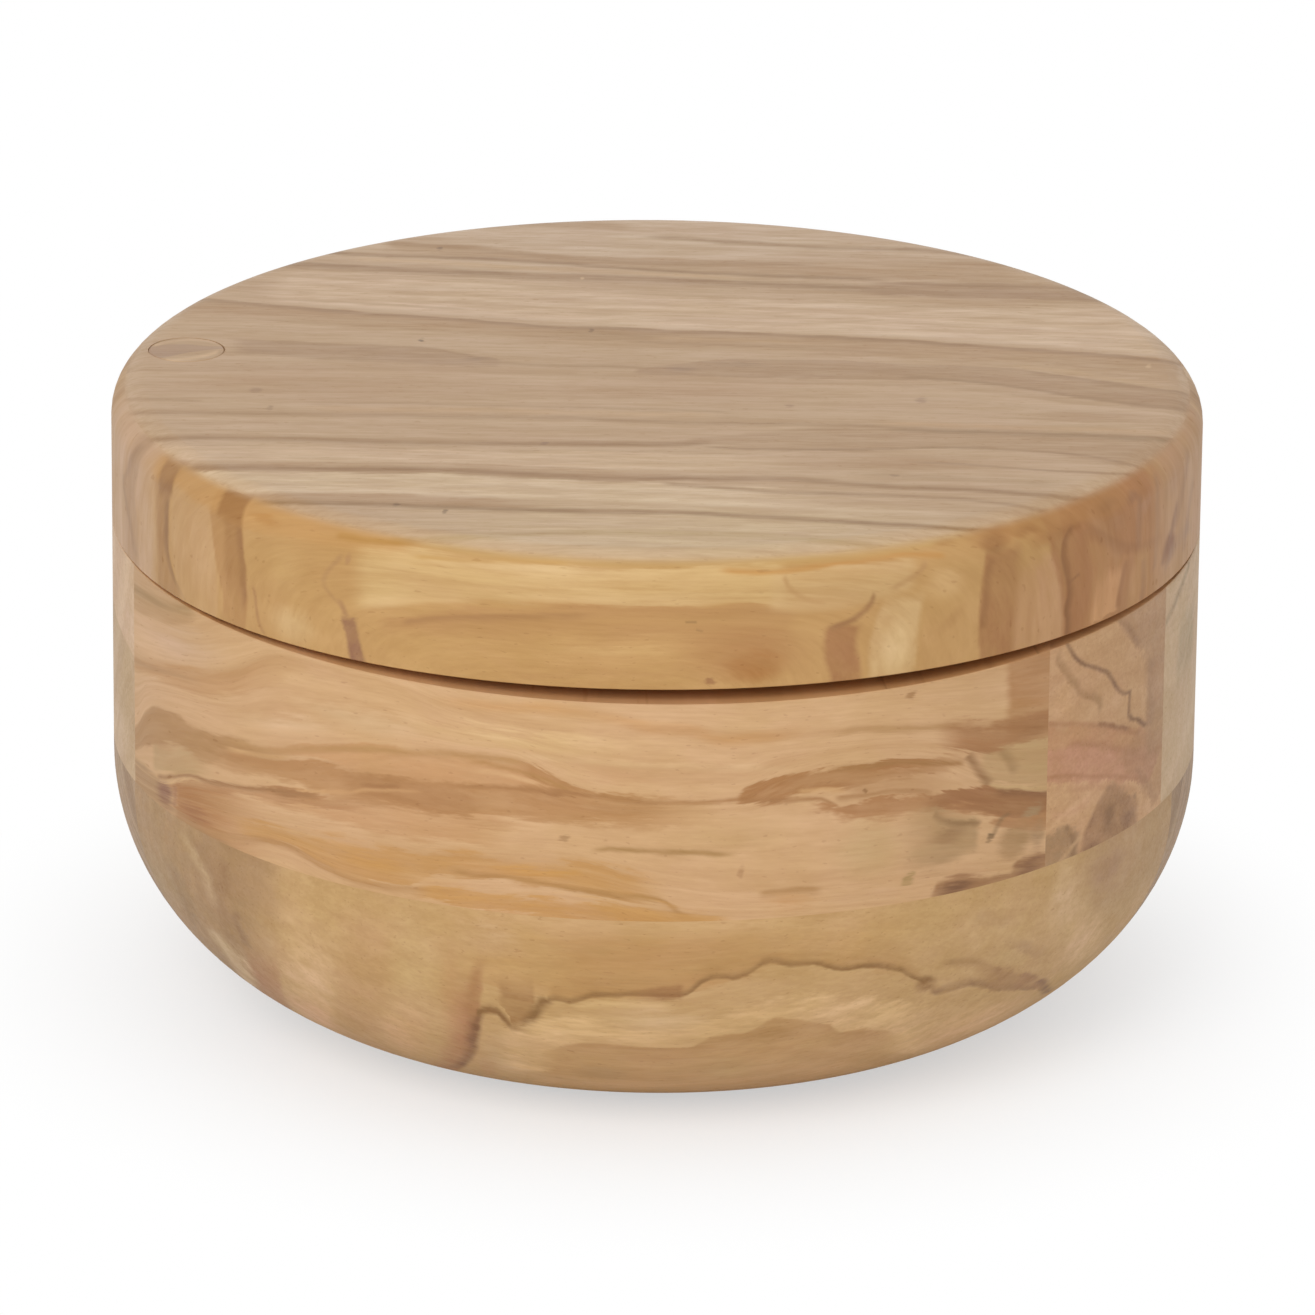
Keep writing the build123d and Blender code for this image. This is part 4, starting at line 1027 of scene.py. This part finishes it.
top.vein([(24, -16.8), (30, -17.4), (36, -17.8), (43, -18.2), (50, -19), (60, -20)],
         (162, 130, 93), width=0.75, fade=(3, 0.5))
top.vein([(22, -14.6), (32, -15.4), (42, -16), (56, -17.2)], (206, 171, 133), 0.7, width=0.8, fade=(4, 1))
top.band([(-40, -23), (0, -23), (10, -20)], [(-40, -19.5), (0, -19), (10, -18)],
         shade, 0.15, above=2, fade=(12, 5))
top.vein([(-60, -23.2), (-54, -22.8), (-48, -22.2), (-42, -22.4), (-36, -22.8), (-28, -23.1), (-14, -23.3),
          (-4, -23), (2, -22.8), (7, -21.8)], (168, 133, 96), 0.95, width=0.7, above=1, fade=(0.5, 3))
top.vein([(4, -23.3), (12, -24.1), (20, -24), (26, -23.3), (33, -22.9), (39, -23.4), (44, -24.4), (48, -26),
          (51, -27.9), (56, -31)], line_dark, 0.75, width=0.4, fade=(3, 0.5))
top.vein([(26, -27.8), (34, -28.6), (39, -29.6), (44, -30.4), (52, -31)],
         line_dark, 0.7, width=0.4, fade=(4, 1))
top.band([(-56, -32.6), (-36, -32.8), (-20, -33.2), (-8, -34.6), (4, -34.8)],
         [(-56, -30.6), (-36, -30.2), (-20, -30.6), (-8, -32), (4, -32.6)],
         shade, below=0.5, above=0.8, fade=(0.5, 6))
top.vein([(-56, -32.2), (-46, -31.9), (-36, -32), (-26, -32), (-20, -32.5), (-12, -33.6), (-5, -34.2),
          (4, -34), (14, -33.9), (19, -34.9), (26, -36.2), (34, -36.9), (41, -38.2), (50, -40.4)],
         (167, 132, 95), 0.95, width=0.7, above=0.9, fade=(0.5, 0.5))
top.vein([(0, -35.6), (6, -36.8), (12, -37.9), (20, -38.5), (27, -39.2), (35, -40.5), (42, -43.4)],
         line_dark, 0.75, width=0.6, fade=(2, 0.5))
top.band([(26, -43), (36, -44), (46, -44)], [(20, -36), (30, -37.4), (46, -39)],
         shade, 0.15, below=2, above=0.5, fade=(6, 0.5))
top.vein([(20, -31.6), (28, -32.8), (36, -33.6), (44, -34.6)], (178, 146, 110), 0.5, width=1.4, fade=(5, 3))
top.band([(-48, -43), (-30, -43.4), (-10, -44.8)], [(-48, -40.4), (-30, -40.6), (-10, -42.6)],
         shade, below=0.4, above=0.7, fade=(0.5, 8))
top.vein([(-48, -43), (-40, -43.1), (-32, -43.3), (-26, -43.8), (-18, -44.5), (-8, -45), (2, -45.1),
          (10, -46), (18, -47.2), (26, -48.4), (38, -50)], (166, 133, 95), 0.95, width=0.7, fade=(0.5, 0.5))
top.vein([(-34, -54.6), (-24, -54), (-15, -52.7), (-6, -51.7), (4, -51.9), (14, -52.8), (24, -54.8)],
         (184, 153, 103), 0.6, width=0.9, fade=(3, 2))
# Specks and pits.
for place, size, colour, strength in [
    ((-26.3, 12.2), (0.45, 0.75), (84, 60, 38), 1.0),
    ((-7.4, 16.2), (0.35, 0.8), (140, 108, 76), 0.8),
    ((-25, 45.4), (0.5, 0.9), (130, 100, 74), 0.7),
    ((28.8, -7), (1.0, 1.1), (152, 118, 96), 0.7),
    ((14.5, -9.2), (0.8, 0.9), (160, 124, 98), 0.6),
    ((-44, -6), (1.0, 1.0), (160, 126, 98), 0.5),
    ((-42.2, -12), (0.5, 1.2), (150, 118, 86), 0.5),
    ((25.5, -32.4), (0.8, 0.8), (150, 120, 92), 0.6),
    ((-27.6, -43.6), (0.6, 0.7), (128, 98, 66), 0.8),
    ((-22.4, -45.6), (0.4, 1.1), (132, 104, 70), 0.7),
    ((54.2, 5.6), (0.5, 0.6), (226, 196, 160), 0.8),
    ((-8.5, 35.1), (0.35, 0.7), (226, 196, 158), 0.8),
    ((-12, -22.8), (0.6, 0.5), (142, 108, 88), 0.6),
]:
    top.spot(place, size, colour, strength, core=0.3)

# The edge is read by its bearing, in degrees from the front, and its height.
edge = lid.figure(bearing, lid.z, (196, 154, 99), ripple=0.9, ragged=0.8, soft=1.3, streaked=0.5)
# Left: growth lines cut across, so they stand upright.
edge.band([(-200, 50), (-62, 50)], [(-200, 72), (-62, 72)], (199, 163, 131), 1.0, fade=(0.1, 4))
edge.band([(-72.4, 54), (-72.6, 59), (-73.4, 62), (-71.4, 65), (-69, 70)],
          [(-69.8, 54), (-69.9, 60), (-71, 62.4), (-69.6, 66), (-68, 70)],
          (180, 145, 113), 0.7, below=3.5, above=0.8, turn=90)
edge.vein([(-70.4, 55.4), (-71.8, 58), (-73.8, 60.4), (-75.2, 62.4), (-73.4, 64.4), (-71.4, 66.6),
           (-69.6, 68.8)], (170, 136, 106), 0.75, width=0.8, above=1.4, turn=90)
edge.band([(-62.6, 54), (-63, 60), (-63.2, 65), (-62.8, 70)],
          [(-58, 54.6), (-60.2, 57), (-61.2, 60), (-61.2, 64), (-60.4, 68), (-60, 70)],
          (174, 131, 88), 0.9, below=1.2, turn=90)
edge.vein([(-57, 54.8), (-59, 56), (-60.6, 58), (-61.3, 60.5), (-61.3, 63.5), (-60.8, 66)],
          (150, 111, 74), width=0.45, below=0.9, fade=(0.5, 1.5), turn=90)
edge.band([(-58, 54), (-60, 62), (-59, 70)], [(-52, 54), (-52, 62), (-53, 70)],
          (198, 158, 113), below=0.8, above=0.8, turn=90)
edge.band([(-50.4, 54), (-50.2, 57), (-51, 60), (-52, 64), (-52.4, 70)],
          [(-47.2, 54), (-46.7, 58), (-46.7, 61), (-47.2, 64), (-47.5, 70)],
          (184, 139, 88), 0.95, below=0.5, above=0.35, turn=90)
edge.band([(-49.4, 57), (-49.6, 70)], [(-47.2, 57), (-47.6, 70)],
          (166, 120, 70), 0.7, below=1.0, above=0.4, fade=(4, 0.1), turn=90)
edge.vein([(-47.2, 56), (-46.9, 59), (-46.9, 61), (-47.3, 63.5), (-47.6, 66), (-47.9, 69.4)],
          (156, 111, 66), 0.85, width=0.35, below=0.9, fade=(3, 0.5), turn=90)
edge.vein([(-43.8, 54.8), (-44.8, 56.5), (-45.2, 58.4), (-45.6, 60.4)],
          (176, 131, 86), width=0.35, fade=(0.5, 1), turn=90)
edge.spot((-40, 57), (4.4, 2.8), (211, 176, 126), 0.7)
edge.spot((-41, 63), (4, 4), (203, 163, 108))
# The little hook and the purple fleck, left of the front.
edge.vein([(-33.2, 60.3), (-34.4, 61.3), (-35.6, 62.3), (-35.9, 63), (-35.4, 64.2), (-34.2, 65.6),
           (-33.2, 67)], (182, 140, 93), 0.7, fade=(0.5, 1), turn=90)
edge.spot((-32.8, 66.2), (0.5, 1.2), (182, 138, 96), 0.7, core=0.3, turn=-20)
edge.band([(-32.2, 54.4), (-32.6, 57), (-33.4, 60)], [(-31, 54.4), (-31.6, 57), (-32.4, 60)],
          (146, 102, 76), 0.9, below=0.5, fade=(0.3, 0.8), turn=90)
edge.vein([(-33, 59.6), (-33.6, 60.8), (-34, 61.8)], (166, 122, 84), fade=(0.4, 0.6), turn=90)
# Front: the growth lines run level. A light yellow band lies over a wavy brown one, with ochre below.
edge.band([(-33, 61), (-28, 62.7), (-22, 64.5), (-10, 65.1), (0, 65.1), (8, 65.6), (12, 65)],
          [(-33, 68), (14, 68.4)], (214, 179, 127), 0.95, below=0.8, above=0.5, fade=(3, 2))
edge.vein([(-31, 61.4), (-27, 62.4), (-23, 63.4), (-17, 64.2)],
          (216, 181, 130), 0.6, above=0.9, fade=(2.5, 3))
edge.band([(-30, 59.4), (-26, 60), (-22, 60.8), (-16, 61.4), (-8, 62), (0, 62.2), (6, 62), (12, 61)],
          [(-30, 59.8), (-26, 60.6), (-23, 61.8), (-19, 62.8), (-12, 63.6), (-5, 64.2), (2, 64.4), (6, 64.3),
           (9, 64.6), (12, 64), (15, 63)], (188, 144, 92), 1.0, below=1.4, above=0.5, fade=(2.5, 2))
edge.vein([(-27, 60.2), (-24.6, 60.9), (-22, 61.6), (-18, 62.2), (-12, 63), (-5, 63.5)],
          (170, 126, 80), 0.75, width=0.4, below=0.7, fade=(1.5, 4))
edge.spot((9, 59.4), (8.6, 4), (178, 130, 80), 0.85, core=0.2)
edge.spot((10.2, 57.6), (4.4, 2.6), (168, 114, 58), core=0.2)
edge.spot((-4, 59.6), (9, 0.9), (208, 169, 113), 0.7)
edge.vein([(-15, 56), (-10, 56.5), (-4, 57.1), (2, 57)], (190, 147, 94), 0.7, fade=(3, 3))
edge.vein([(3, 63), (4.4, 62.8)], (152, 116, 72), 0.85, width=0.25, fade=(0.2, 0.3))
edge.vein([(4, 62), (5, 61.7)], (160, 122, 76), 0.7, width=0.2, fade=(0.2, 0.3))
edge.spot((5.7, 56.3), (0.8, 0.55), (156, 108, 68), 0.85, core=0.3)
# Right of the front: a pale lens, a brown swirl and a cream patch beside it.
edge.band([(11, 65), (16, 64.4), (21, 64.6), (27, 65.6)], [(11, 68), (20, 68), (28, 67.6)],
          (213, 178, 130), below=1.2, above=0.4, fade=(1.5, 2))
edge.vein([(24, 64.8), (26, 65.6), (27.6, 66.4), (28.6, 67.6)], (184, 142, 94), 0.7, fade=(1, 0.6), turn=40)
edge.vein([(13, 67.8), (13.6, 66.2), (15, 65), (17.6, 64)],
          (190, 148, 98), 0.6, width=0.4, fade=(0.6, 1), turn=-45)
edge.band([(18.6, 54), (18.2, 56.8), (17.7, 59), (17.8, 61.6)],
          [(21.2, 54), (20.6, 56.6), (20.2, 59.4), (20.8, 61.8)],
          (168, 119, 76), 0.9, below=0.7, above=0.8, fade=(0.1, 0.8), turn=90)
edge.vein([(17.6, 61.3), (19.2, 61.7), (20.6, 62.2), (21.6, 63), (22.3, 64), (22.6, 65)],
          (162, 118, 76), 0.9, fade=(0.5, 0.6), turn=35)
edge.band([(22.8, 54), (22.6, 58), (23.2, 61), (24.2, 65)], [(26.6, 54), (26.9, 60), (27.4, 63), (28.4, 65)],
          (212, 176, 128), 0.95, below=0.7, above=0.9, fade=(0.1, 2.5), turn=90)
edge.spot((25, 58), (1.9, 4.4), (223, 190, 143), 0.9, core=0.3)
edge.band([(28.6, 54), (28.6, 60)], [(35.4, 54), (35.2, 63)],
          (199, 156, 104), 0.85, below=1.0, above=0.5, fade=(0.1, 4), turn=90)
edge.spot((31.6, 60.4), (2.8, 1.0), (184, 139, 88), 0.6, turn=35)
edge.spot((30.6, 64.6), (3.6, 2.8), (210, 170, 119), 0.9, core=0.2)
edge.band([(35.6, 54), (35.2, 60), (36, 67.6)], [(39.2, 54), (39.6, 61), (39, 67.6)],
          (166, 117, 72), 0.9, below=0.5, above=1.5, fade=(0.1, 1.2), turn=90)
edge.vein([(43.2, 54.6), (43.4, 60), (42.8, 65)], (182, 136, 92), 0.7, width=0.6, fade=(1, 2), turn=90)
edge.vein([(35.2, 58), (35.4, 60), (35.6, 62.4), (35.8, 64.4), (36.4, 66.8)],
          (150, 104, 62), 0.65, width=0.4, above=0.9, fade=(1, 1.5), turn=90)
edge.spot((36.9, 67.9), (2.5, 1.6), (136, 89, 46), 0.95, core=0.2)
edge.band([(40.2, 54), (40.6, 60), (41.4, 66)], [(46.6, 54), (46.2, 60), (44.8, 66)],
          (198, 153, 111), 0.9, below=1.2, fade=(0.1, 2.5), turn=90)
edge.vein([(41.6, 54.6), (41.4, 58), (41.8, 62)],
          (184, 138, 94), 0.6, width=0.7, below=0.8, fade=(1, 2), turn=90)
edge.spot((43.6, 67), (3.4, 1.6), (180, 131, 80), 0.85)
# Far right: reddish wood between dark lines, then a grey-pink end.
edge.band([(47, 54), (47, 62), (46.4, 65), (47, 70)], [(66, 54), (64.6, 70)],
          (184, 133, 85), 0.95, below=0.3, above=1.2, turn=90)
edge.band([(50, 65.6), (54, 63.4), (58, 61.6), (64, 61.6)], [(50, 69), (64, 69)],
          (175, 122, 76), 0.75, below=0.8, above=0.8, fade=(1, 1.5))
edge.band([(46.8, 54), (46.6, 60), (45, 65), (44.4, 70)], [(48.8, 54), (50.2, 60), (49.4, 65), (50, 70)],
          (170, 118, 73), below=0.7, above=1.6, turn=90)
edge.spot((47.6, 67.4), (2.6, 1.4), (150, 98, 50), 0.75)
edge.band([(51.6, 55), (52.4, 60)], [(55.2, 55), (56, 61)],
          (210, 159, 112), 0.9, below=0.9, above=0.9, fade=(0.3, 2.2), turn=90)
edge.vein([(50.4, 68.4), (52.4, 65.6), (54.6, 63), (56.6, 61)], (192, 146, 104), 0.75, width=1.1, turn=-45)
edge.band([(56, 54), (57, 61)], [(57.4, 54), (58.6, 61)],
          (174, 124, 80), 0.6, above=1.2, fade=(0.1, 1.2), turn=90)
edge.vein([(61, 54.6), (61.2, 57), (61, 60)],
          (158, 114, 80), 0.6, width=0.6, above=1.0, fade=(0.5, 1), turn=90)
edge.spot((59.2, 57.6), (1.5, 2.8), (200, 152, 106), core=0.2)
edge.band([(59, 61.6), (61, 62)], [(59, 66), (61, 67)],
          (160, 116, 80), 0.6, below=0.8, above=0.8, fade=(0.8, 0.8))
edge.vein([(64.4, 68.6), (64.2, 65), (64.4, 61), (63.8, 57)], (150, 112, 84), 0.6, width=0.7, turn=90)
edge.spot((61.4, 65.8), (1.4, 1.6), (188, 142, 106), 0.7, core=0.2)
edge.vein([(49.4, 67), (52, 65.2), (55, 63.4), (58, 62), (61, 61.2), (64, 60.8), (67, 60.4), (69, 60)],
          (160, 110, 66), 0.55, below=1.2, above=0.6, fade=(1.5, 2), turn=-20)
edge.spot((55.4, 65.4), (2.6, 1.6), (180, 132, 92), 0.6, turn=-30)
edge.spot((58.8, 67.2), (2, 1.0), (152, 108, 74), 0.6)
edge.vein([(55.8, 55.4), (56.2, 57.5), (57, 59.5), (57.6, 61)],
          (166, 116, 74), 0.6, above=0.8, fade=(0.5, 0.8), turn=90)
edge.vein([(47, 54.6), (47.2, 56.6), (46.9, 58), (47.3, 59.6), (47, 61.4), (46.6, 63), (46.3, 64.6),
           (46.8, 66.4), (48, 67.6)], (142, 96, 54), 0.85, width=0.4, above=0.9, fade=(0.3, 0.8), turn=90)
edge.vein([(47, 60.6), (48, 61.2), (49.2, 61.4)], (150, 104, 66), 0.7, width=0.3, fade=(0.3, 0.6))
edge.band([(67, 54), (66.4, 62), (67.4, 70)], [(88, 54), (88, 70)],
          (194, 151, 113), 0.95, below=4, above=3, turn=90)
edge.spot((68.2, 58.6), (2.8, 2.2), (146, 98, 66), 0.85, core=0.2)
edge.vein([(69, 60), (71.4, 62.4), (73.6, 65.6), (75.4, 68)],
          (170, 130, 98), 0.6, width=1.0, above=1.6, fade=(1, 1.5), turn=60)
edge.vein([(66, 56.4), (70, 58), (74, 58.4), (78, 57.6)],
          (172, 138, 112), 0.6, width=0.9, above=1.4, fade=(1.5, 3))
edge.spot((68.4, 65.6), (3.4, 2.4), (184, 142, 106), 0.7)
edge.vein([(65.6, 57), (67.4, 59), (69, 61), (70.6, 63.6)],
          (152, 112, 84), 0.6, width=0.8, fade=(0.8, 1.5), turn=45)
edge.vein([(69.6, 56), (72, 59), (74.4, 63), (76, 67)],
          (196, 156, 120), 0.6, width=1.6, fade=(1, 1.5), turn=60)
edge.vein([(72.6, 56), (75, 60), (77.4, 64)], (166, 128, 98), 0.5, width=1.2, fade=(1, 1.5), turn=60)
# The rounded arris has none of the top's painted grey sheen, and is orange where it is cut across the grain.
edge.band([(-66, 67.2), (-58, 67.8), (-52, 67.2), (-46, 66.8), (-42, 67.4), (-34, 67.9), (-24, 68.3)],
          [(-66, 68.8), (-24, 69)], (196, 149, 92), 0.75, below=0.8, above=0.8, fade=(2, 4))
edge.spot((-44.4, 67.9), (3.4, 0.8), (184, 134, 74), core=0.2)
edge.band([(-52, 67.2), (-47, 67.2)], [(-52, 68.8), (-47, 69)],
          (156, 108, 56), below=1.2, above=0.7, fade=(1, 0.8))
edge.band([(-63.6, 66.4), (-60.4, 66.8)], [(-63.6, 68.6), (-59.8, 68.8)],
          (152, 109, 68), 0.85, below=1.4, above=0.8, fade=(0.8, 0.8))
edge.vein([(-35, 68.2), (-31, 68.3), (-27, 68.8), (-24, 69.2)], (181, 134, 66), width=0.45, fade=(1, 2))
edge.vein([(-26, 67.6), (-20, 68.1), (-14, 68.6), (-8, 68.8)], (196, 152, 84), 0.7, width=0.35, fade=(2, 2))
edge.vein([(6, 68.2), (12, 68), (18, 68.3), (25, 68.4), (29, 67.8), (31, 67.5)],
          (197, 145, 80), 0.85, width=0.4, fade=(2, 1))
edge.band([(-26, 68.9), (0, 69), (34, 68.8)], [(-26, 70), (34, 70)],
          (200, 163, 104), 0.7, below=0.4, fade=(3, 3))
edge.band([(33, 68.2), (36, 67.8), (44, 68), (50, 67.6), (60, 67.6)], [(33, 69), (60, 69)],
          (182, 132, 80), 0.7, below=0.7, above=0.8, fade=(3, 6))
edge.spot((41.6, 68), (2.4, 0.8), (168, 120, 70), 0.7)
edge.spot((54, 68), (3, 0.9), (164, 117, 72), 0.7)
edge.spot((31, 68.6), (2.2, 0.5), (176, 130, 76), 0.5)

# The back of the edge isn't drawn: there the growth layers cut across, as in any board.
drawn_end = 80.0  # degrees to either side of the front
drawn = ease(tree, reckon(tree, "ABSOLUTE", bearing), drawn_end, drawn_end + 12.0, 1.0, 0.0)
edge_colour = stain(tree, lid.natural((204, 168, 126), (180, 138, 94), (140, 102, 66)), edge.colour, drawn)
underside_top = 55.4  # the cupped underside stays below this
inside = lid.inside()
underneath = ease(tree, lid.z, underside_top, underside_top + 0.4, 1.0, 0.0)
underneath = reckon(tree, "MULTIPLY", inside, underneath)
fresh = lid.natural((230, 182, 124), (214, 162, 104), (176, 124, 76))
edge_colour = stain(tree, edge_colour, fresh, underneath)
edge_surface = lid.surface(edge_colour, growth=0.6, fibre=0.3, cloud=0.55)
top_surface = lid.surface(top.colour, growth=0.8, fibre=0.4, cloud=0.3, pores=0.2)
both = tree.nodes.new("ShaderNodeMixShader")
for value, socket in zip((on_edge, top_surface, edge_surface), both.inputs):
    feed(tree, value, socket)
dress("lid_disc", lid.finished(both.outputs[0]))


# --- Plug ------------------------------------------------------------------------------------------
# A round plug of the same wood, glued over the screw and sanded flush. Its grain is turned a little,
# so a dark lens of growth crosses it from the lower left.

plug = Wood("olive_plug")
plug.grow(plug.rings(heart=(-52, -60, 40), waver=3), 0.3, seed=(9, 4, 0))
face = plug.figure(plug.x, plug.y, (191, 159, 125), ripple=0.3, ragged=0.2)
face.band([(-57, 4.6), (-54.6, 5.2), (-51.6, 7.2), (-48.6, 8.4), (-47, 8.8)],
          [(-57, 8), (-54.8, 9.2), (-52, 9.4), (-49.4, 9), (-47, 9)],
          (172, 140, 116), 0.75, below=0.4, above=0.5, fade=(0.6, 1.4))
face.vein([(-56, 9), (-54, 10.6), (-51, 11.4), (-48.6, 10.4)], (210, 178, 144), width=0.8, fade=(0.4, 0.6))
face.vein([(-54.6, 4), (-52, 4.6), (-50, 5.8), (-48.4, 7.4)],
          (214, 182, 146), 0.85, width=1.2, fade=(0.6, 0.5))
dress("pivot_plug", plug.finished(plug.surface(face.colour, cloud=0.15, pores=0.1)))


# --- Washer and screw ------------------------------------------------------------------------------
# Zinc-plated steel: a pan-head screw that the lid turns on, and the washer under its head. Both are
# turned bright, with fine circular brush marks.

def plated_metal(name, ground, scratch, roughness, centre):
    """Plated metal with faint turning marks about an upright axis through centre, in millimetres."""
    material = bpy.data.materials.new(name)
    material.use_nodes = True
    tree = material.node_tree
    tree.nodes.clear()
    coordinates = tree.nodes.new("ShaderNodeTexCoord")
    from_axis = tree.nodes.new("ShaderNodeVectorMath")
    from_axis.operation = "MULTIPLY_ADD"
    feed(tree, coordinates.outputs["Object"], from_axis.inputs[0])
    from_axis.inputs[1].default_value = (millimetres, millimetres, millimetres)
    from_axis.inputs[2].default_value = (-centre[0], -centre[1], 0)
    parts = tree.nodes.new("ShaderNodeSeparateXYZ")
    feed(tree, from_axis.outputs[0], parts.inputs[0])
    across, deep, height = parts.outputs
    marks = tree.nodes.new("ShaderNodeTexNoise")
    marks.noise_dimensions = "1D"
    feed(tree, reckon(tree, "ADD", distance_off_axis(tree, across, deep), height), marks.inputs["W"])
    marks.inputs["Scale"].default_value = 9.0
    marks.inputs["Detail"].default_value = 4.0
    smear = noise(tree, from_axis.outputs[0], scale=0.6, detail=3.0, roughness=0.6)
    surface = tree.nodes.new("ShaderNodeBsdfPrincipled")
    surface.inputs["Metallic"].default_value = 1.0
    feed(tree, stain(tree, srgb(*ground), srgb(*scratch), smear.outputs["Fac"]), surface.inputs["Base Color"])
    dull = reckon(tree, "MULTIPLY_ADD", marks.outputs["Fac"], 0.16, roughness)
    feed(tree, dull, surface.inputs["Roughness"])
    bump = tree.nodes.new("ShaderNodeBump")
    bump.inputs["Strength"].default_value = 0.4
    bump.inputs["Distance"].default_value = 0.02 / millimetres
    feed(tree, marks.outputs["Fac"], bump.inputs["Height"])
    feed(tree, bump.outputs["Normal"], surface.inputs["Normal"])
    output = tree.nodes.new("ShaderNodeOutputMaterial")
    feed(tree, surface.outputs["BSDF"], output.inputs["Surface"])
    return material


pivot_axis = (-52.12, 7.79)  # the catch lies straight across from it
zinc = plated_metal("zinc_plated_steel", (196, 198, 196), (168, 170, 170), 0.26, pivot_axis)
dress("pivot_screw", zinc)
dress("pivot_washer", zinc)


# --- Catch magnets ---------------------------------------------------------------------------------
# Two nickel-plated disc magnets across from the pivot, one glued into a pocket in the rim and its twin
# into one in the lid, each a little below the face.

catch_axis = (-pivot_axis[0], -pivot_axis[1])
nickel = plated_metal("nickel_plate", (208, 204, 196), (186, 181, 172), 0.14, catch_axis)
dress("rim_magnet", nickel)
dress("lid_magnet", nickel)


# --- Studio ----------------------------------------------------------------------------------------
# A pale paper floor that runs into a white surround, lit by a broad soft lamp at the upper left and a
# weak one at the right, and seen through a long lens.

floor_width = 6
bpy.ops.mesh.primitive_grid_add(x_subdivisions=8, y_subdivisions=8, size=floor_width, location=(0, 0, 0))
floor = bpy.context.object
floor.name = "floor"
paper = bpy.data.materials.new("white_paper")
paper.use_nodes = True
tree = paper.node_tree
tree.nodes.clear()
coordinates = tree.nodes.new("ShaderNodeTexCoord")
away = tree.nodes.new("ShaderNodeVectorMath")
away.operation = "LENGTH"
feed(tree, coordinates.outputs["Object"], away.inputs[0])
weave = noise(tree, coordinates.outputs["Object"], scale=60.0, detail=2.0)
matt = tree.nodes.new("ShaderNodeBsdfDiffuse")
paper_colour = stain(tree, (0.93, 0.93, 0.93, 1), (0.95, 0.95, 0.95, 1), weave.outputs["Fac"])
feed(tree, paper_colour, matt.inputs["Color"])
white = tree.nodes.new("ShaderNodeEmission")
white.inputs["Color"].default_value = (1, 1, 1, 1)
rays = tree.nodes.new("ShaderNodeLightPath")
# Seen by the camera the paper glows white, and only close round the foot does it take a shadow.
foot_radius, shadow_radius, least_glow = 0.038, 0.085, 0.55
glow = ease(tree, away.outputs["Value"], foot_radius, shadow_radius, least_glow, 1.0)
glow = reckon(tree, "MULTIPLY", rays.outputs["Is Camera Ray"], glow)
mix = tree.nodes.new("ShaderNodeMixShader")
feed(tree, glow, mix.inputs[0])
feed(tree, matt.outputs[0], mix.inputs[1])
feed(tree, white.outputs[0], mix.inputs[2])
output = tree.nodes.new("ShaderNodeOutputMaterial")
feed(tree, mix.outputs[0], output.inputs["Surface"])
floor.data.materials.append(paper)

surround = bpy.data.worlds.new("surround")
bpy.context.scene.world = surround
surround.use_nodes = True
tree = surround.node_tree
tree.nodes.clear()
soft_light = tree.nodes.new("ShaderNodeBackground")
soft_light.inputs["Color"].default_value = (1, 1, 1, 1)
soft_light.inputs["Strength"].default_value = 0.6
white_view = tree.nodes.new("ShaderNodeBackground")
white_view.inputs["Color"].default_value = (1, 1, 1, 1)
white_view.inputs["Strength"].default_value = 1.0
rays = tree.nodes.new("ShaderNodeLightPath")
seen = reckon(tree, "MAXIMUM", rays.outputs["Is Camera Ray"], rays.outputs["Is Transmission Ray"])
seen = reckon(tree, "MAXIMUM", seen, rays.outputs["Is Glossy Ray"])
mix = tree.nodes.new("ShaderNodeMixShader")
feed(tree, seen, mix.inputs[0])
feed(tree, soft_light.outputs[0], mix.inputs[1])
feed(tree, white_view.outputs[0], mix.inputs[2])
output = tree.nodes.new("ShaderNodeOutputWorld")
feed(tree, mix.outputs[0], output.inputs["Surface"])


def soft_lamp(name, place, aim, size, watts):
    """A square lamp that faces the point it is aimed at."""
    lamp_data = bpy.data.lights.new(name, "AREA")
    lamp_data.size = size
    lamp_data.energy = watts
    lamp = bpy.data.objects.new(name, lamp_data)
    bpy.context.scene.collection.objects.link(lamp)
    lamp.location = place
    lamp.rotation_mode = "QUATERNION"
    direction = [target - start for target, start in zip(aim, place)]
    lamp.rotation_quaternion = Vector(direction).to_track_quat("-Z", "Y")
    return lamp


bowl_middle = (0, 0, 0.03)
soft_lamp("key_lamp", (-0.45, -0.95, 0.8), bowl_middle, 0.7, 7.6)
soft_lamp("fill_lamp", (0.9, -0.7, 0.6), bowl_middle, 0.8, 1.2)

camera_data = bpy.data.cameras.new("camera")
camera_data.sensor_width = 36.0
camera_data.lens = 294.5
camera_data.shift_x = 0.00227
camera_data.shift_y = 0.01268
camera_data.clip_start, camera_data.clip_end = 0.05, 20
camera = bpy.data.objects.new("camera", camera_data)
bpy.context.scene.collection.objects.link(camera)
looking_down, distance, aim_height = math.radians(20.07), 1.1944, 0.035
camera.location = (0, -distance * math.cos(looking_down), aim_height + distance * math.sin(looking_down))
camera.rotation_mode = "QUATERNION"
level_turn = Quaternion((1, 0, 0), math.pi / 2 - looking_down)
roll = Quaternion((0, 0, 1), math.radians(0.583))
camera.rotation_quaternion = level_turn @ roll
bpy.context.scene.camera = camera
bpy.context.scene.view_settings.view_transform = "Standard"
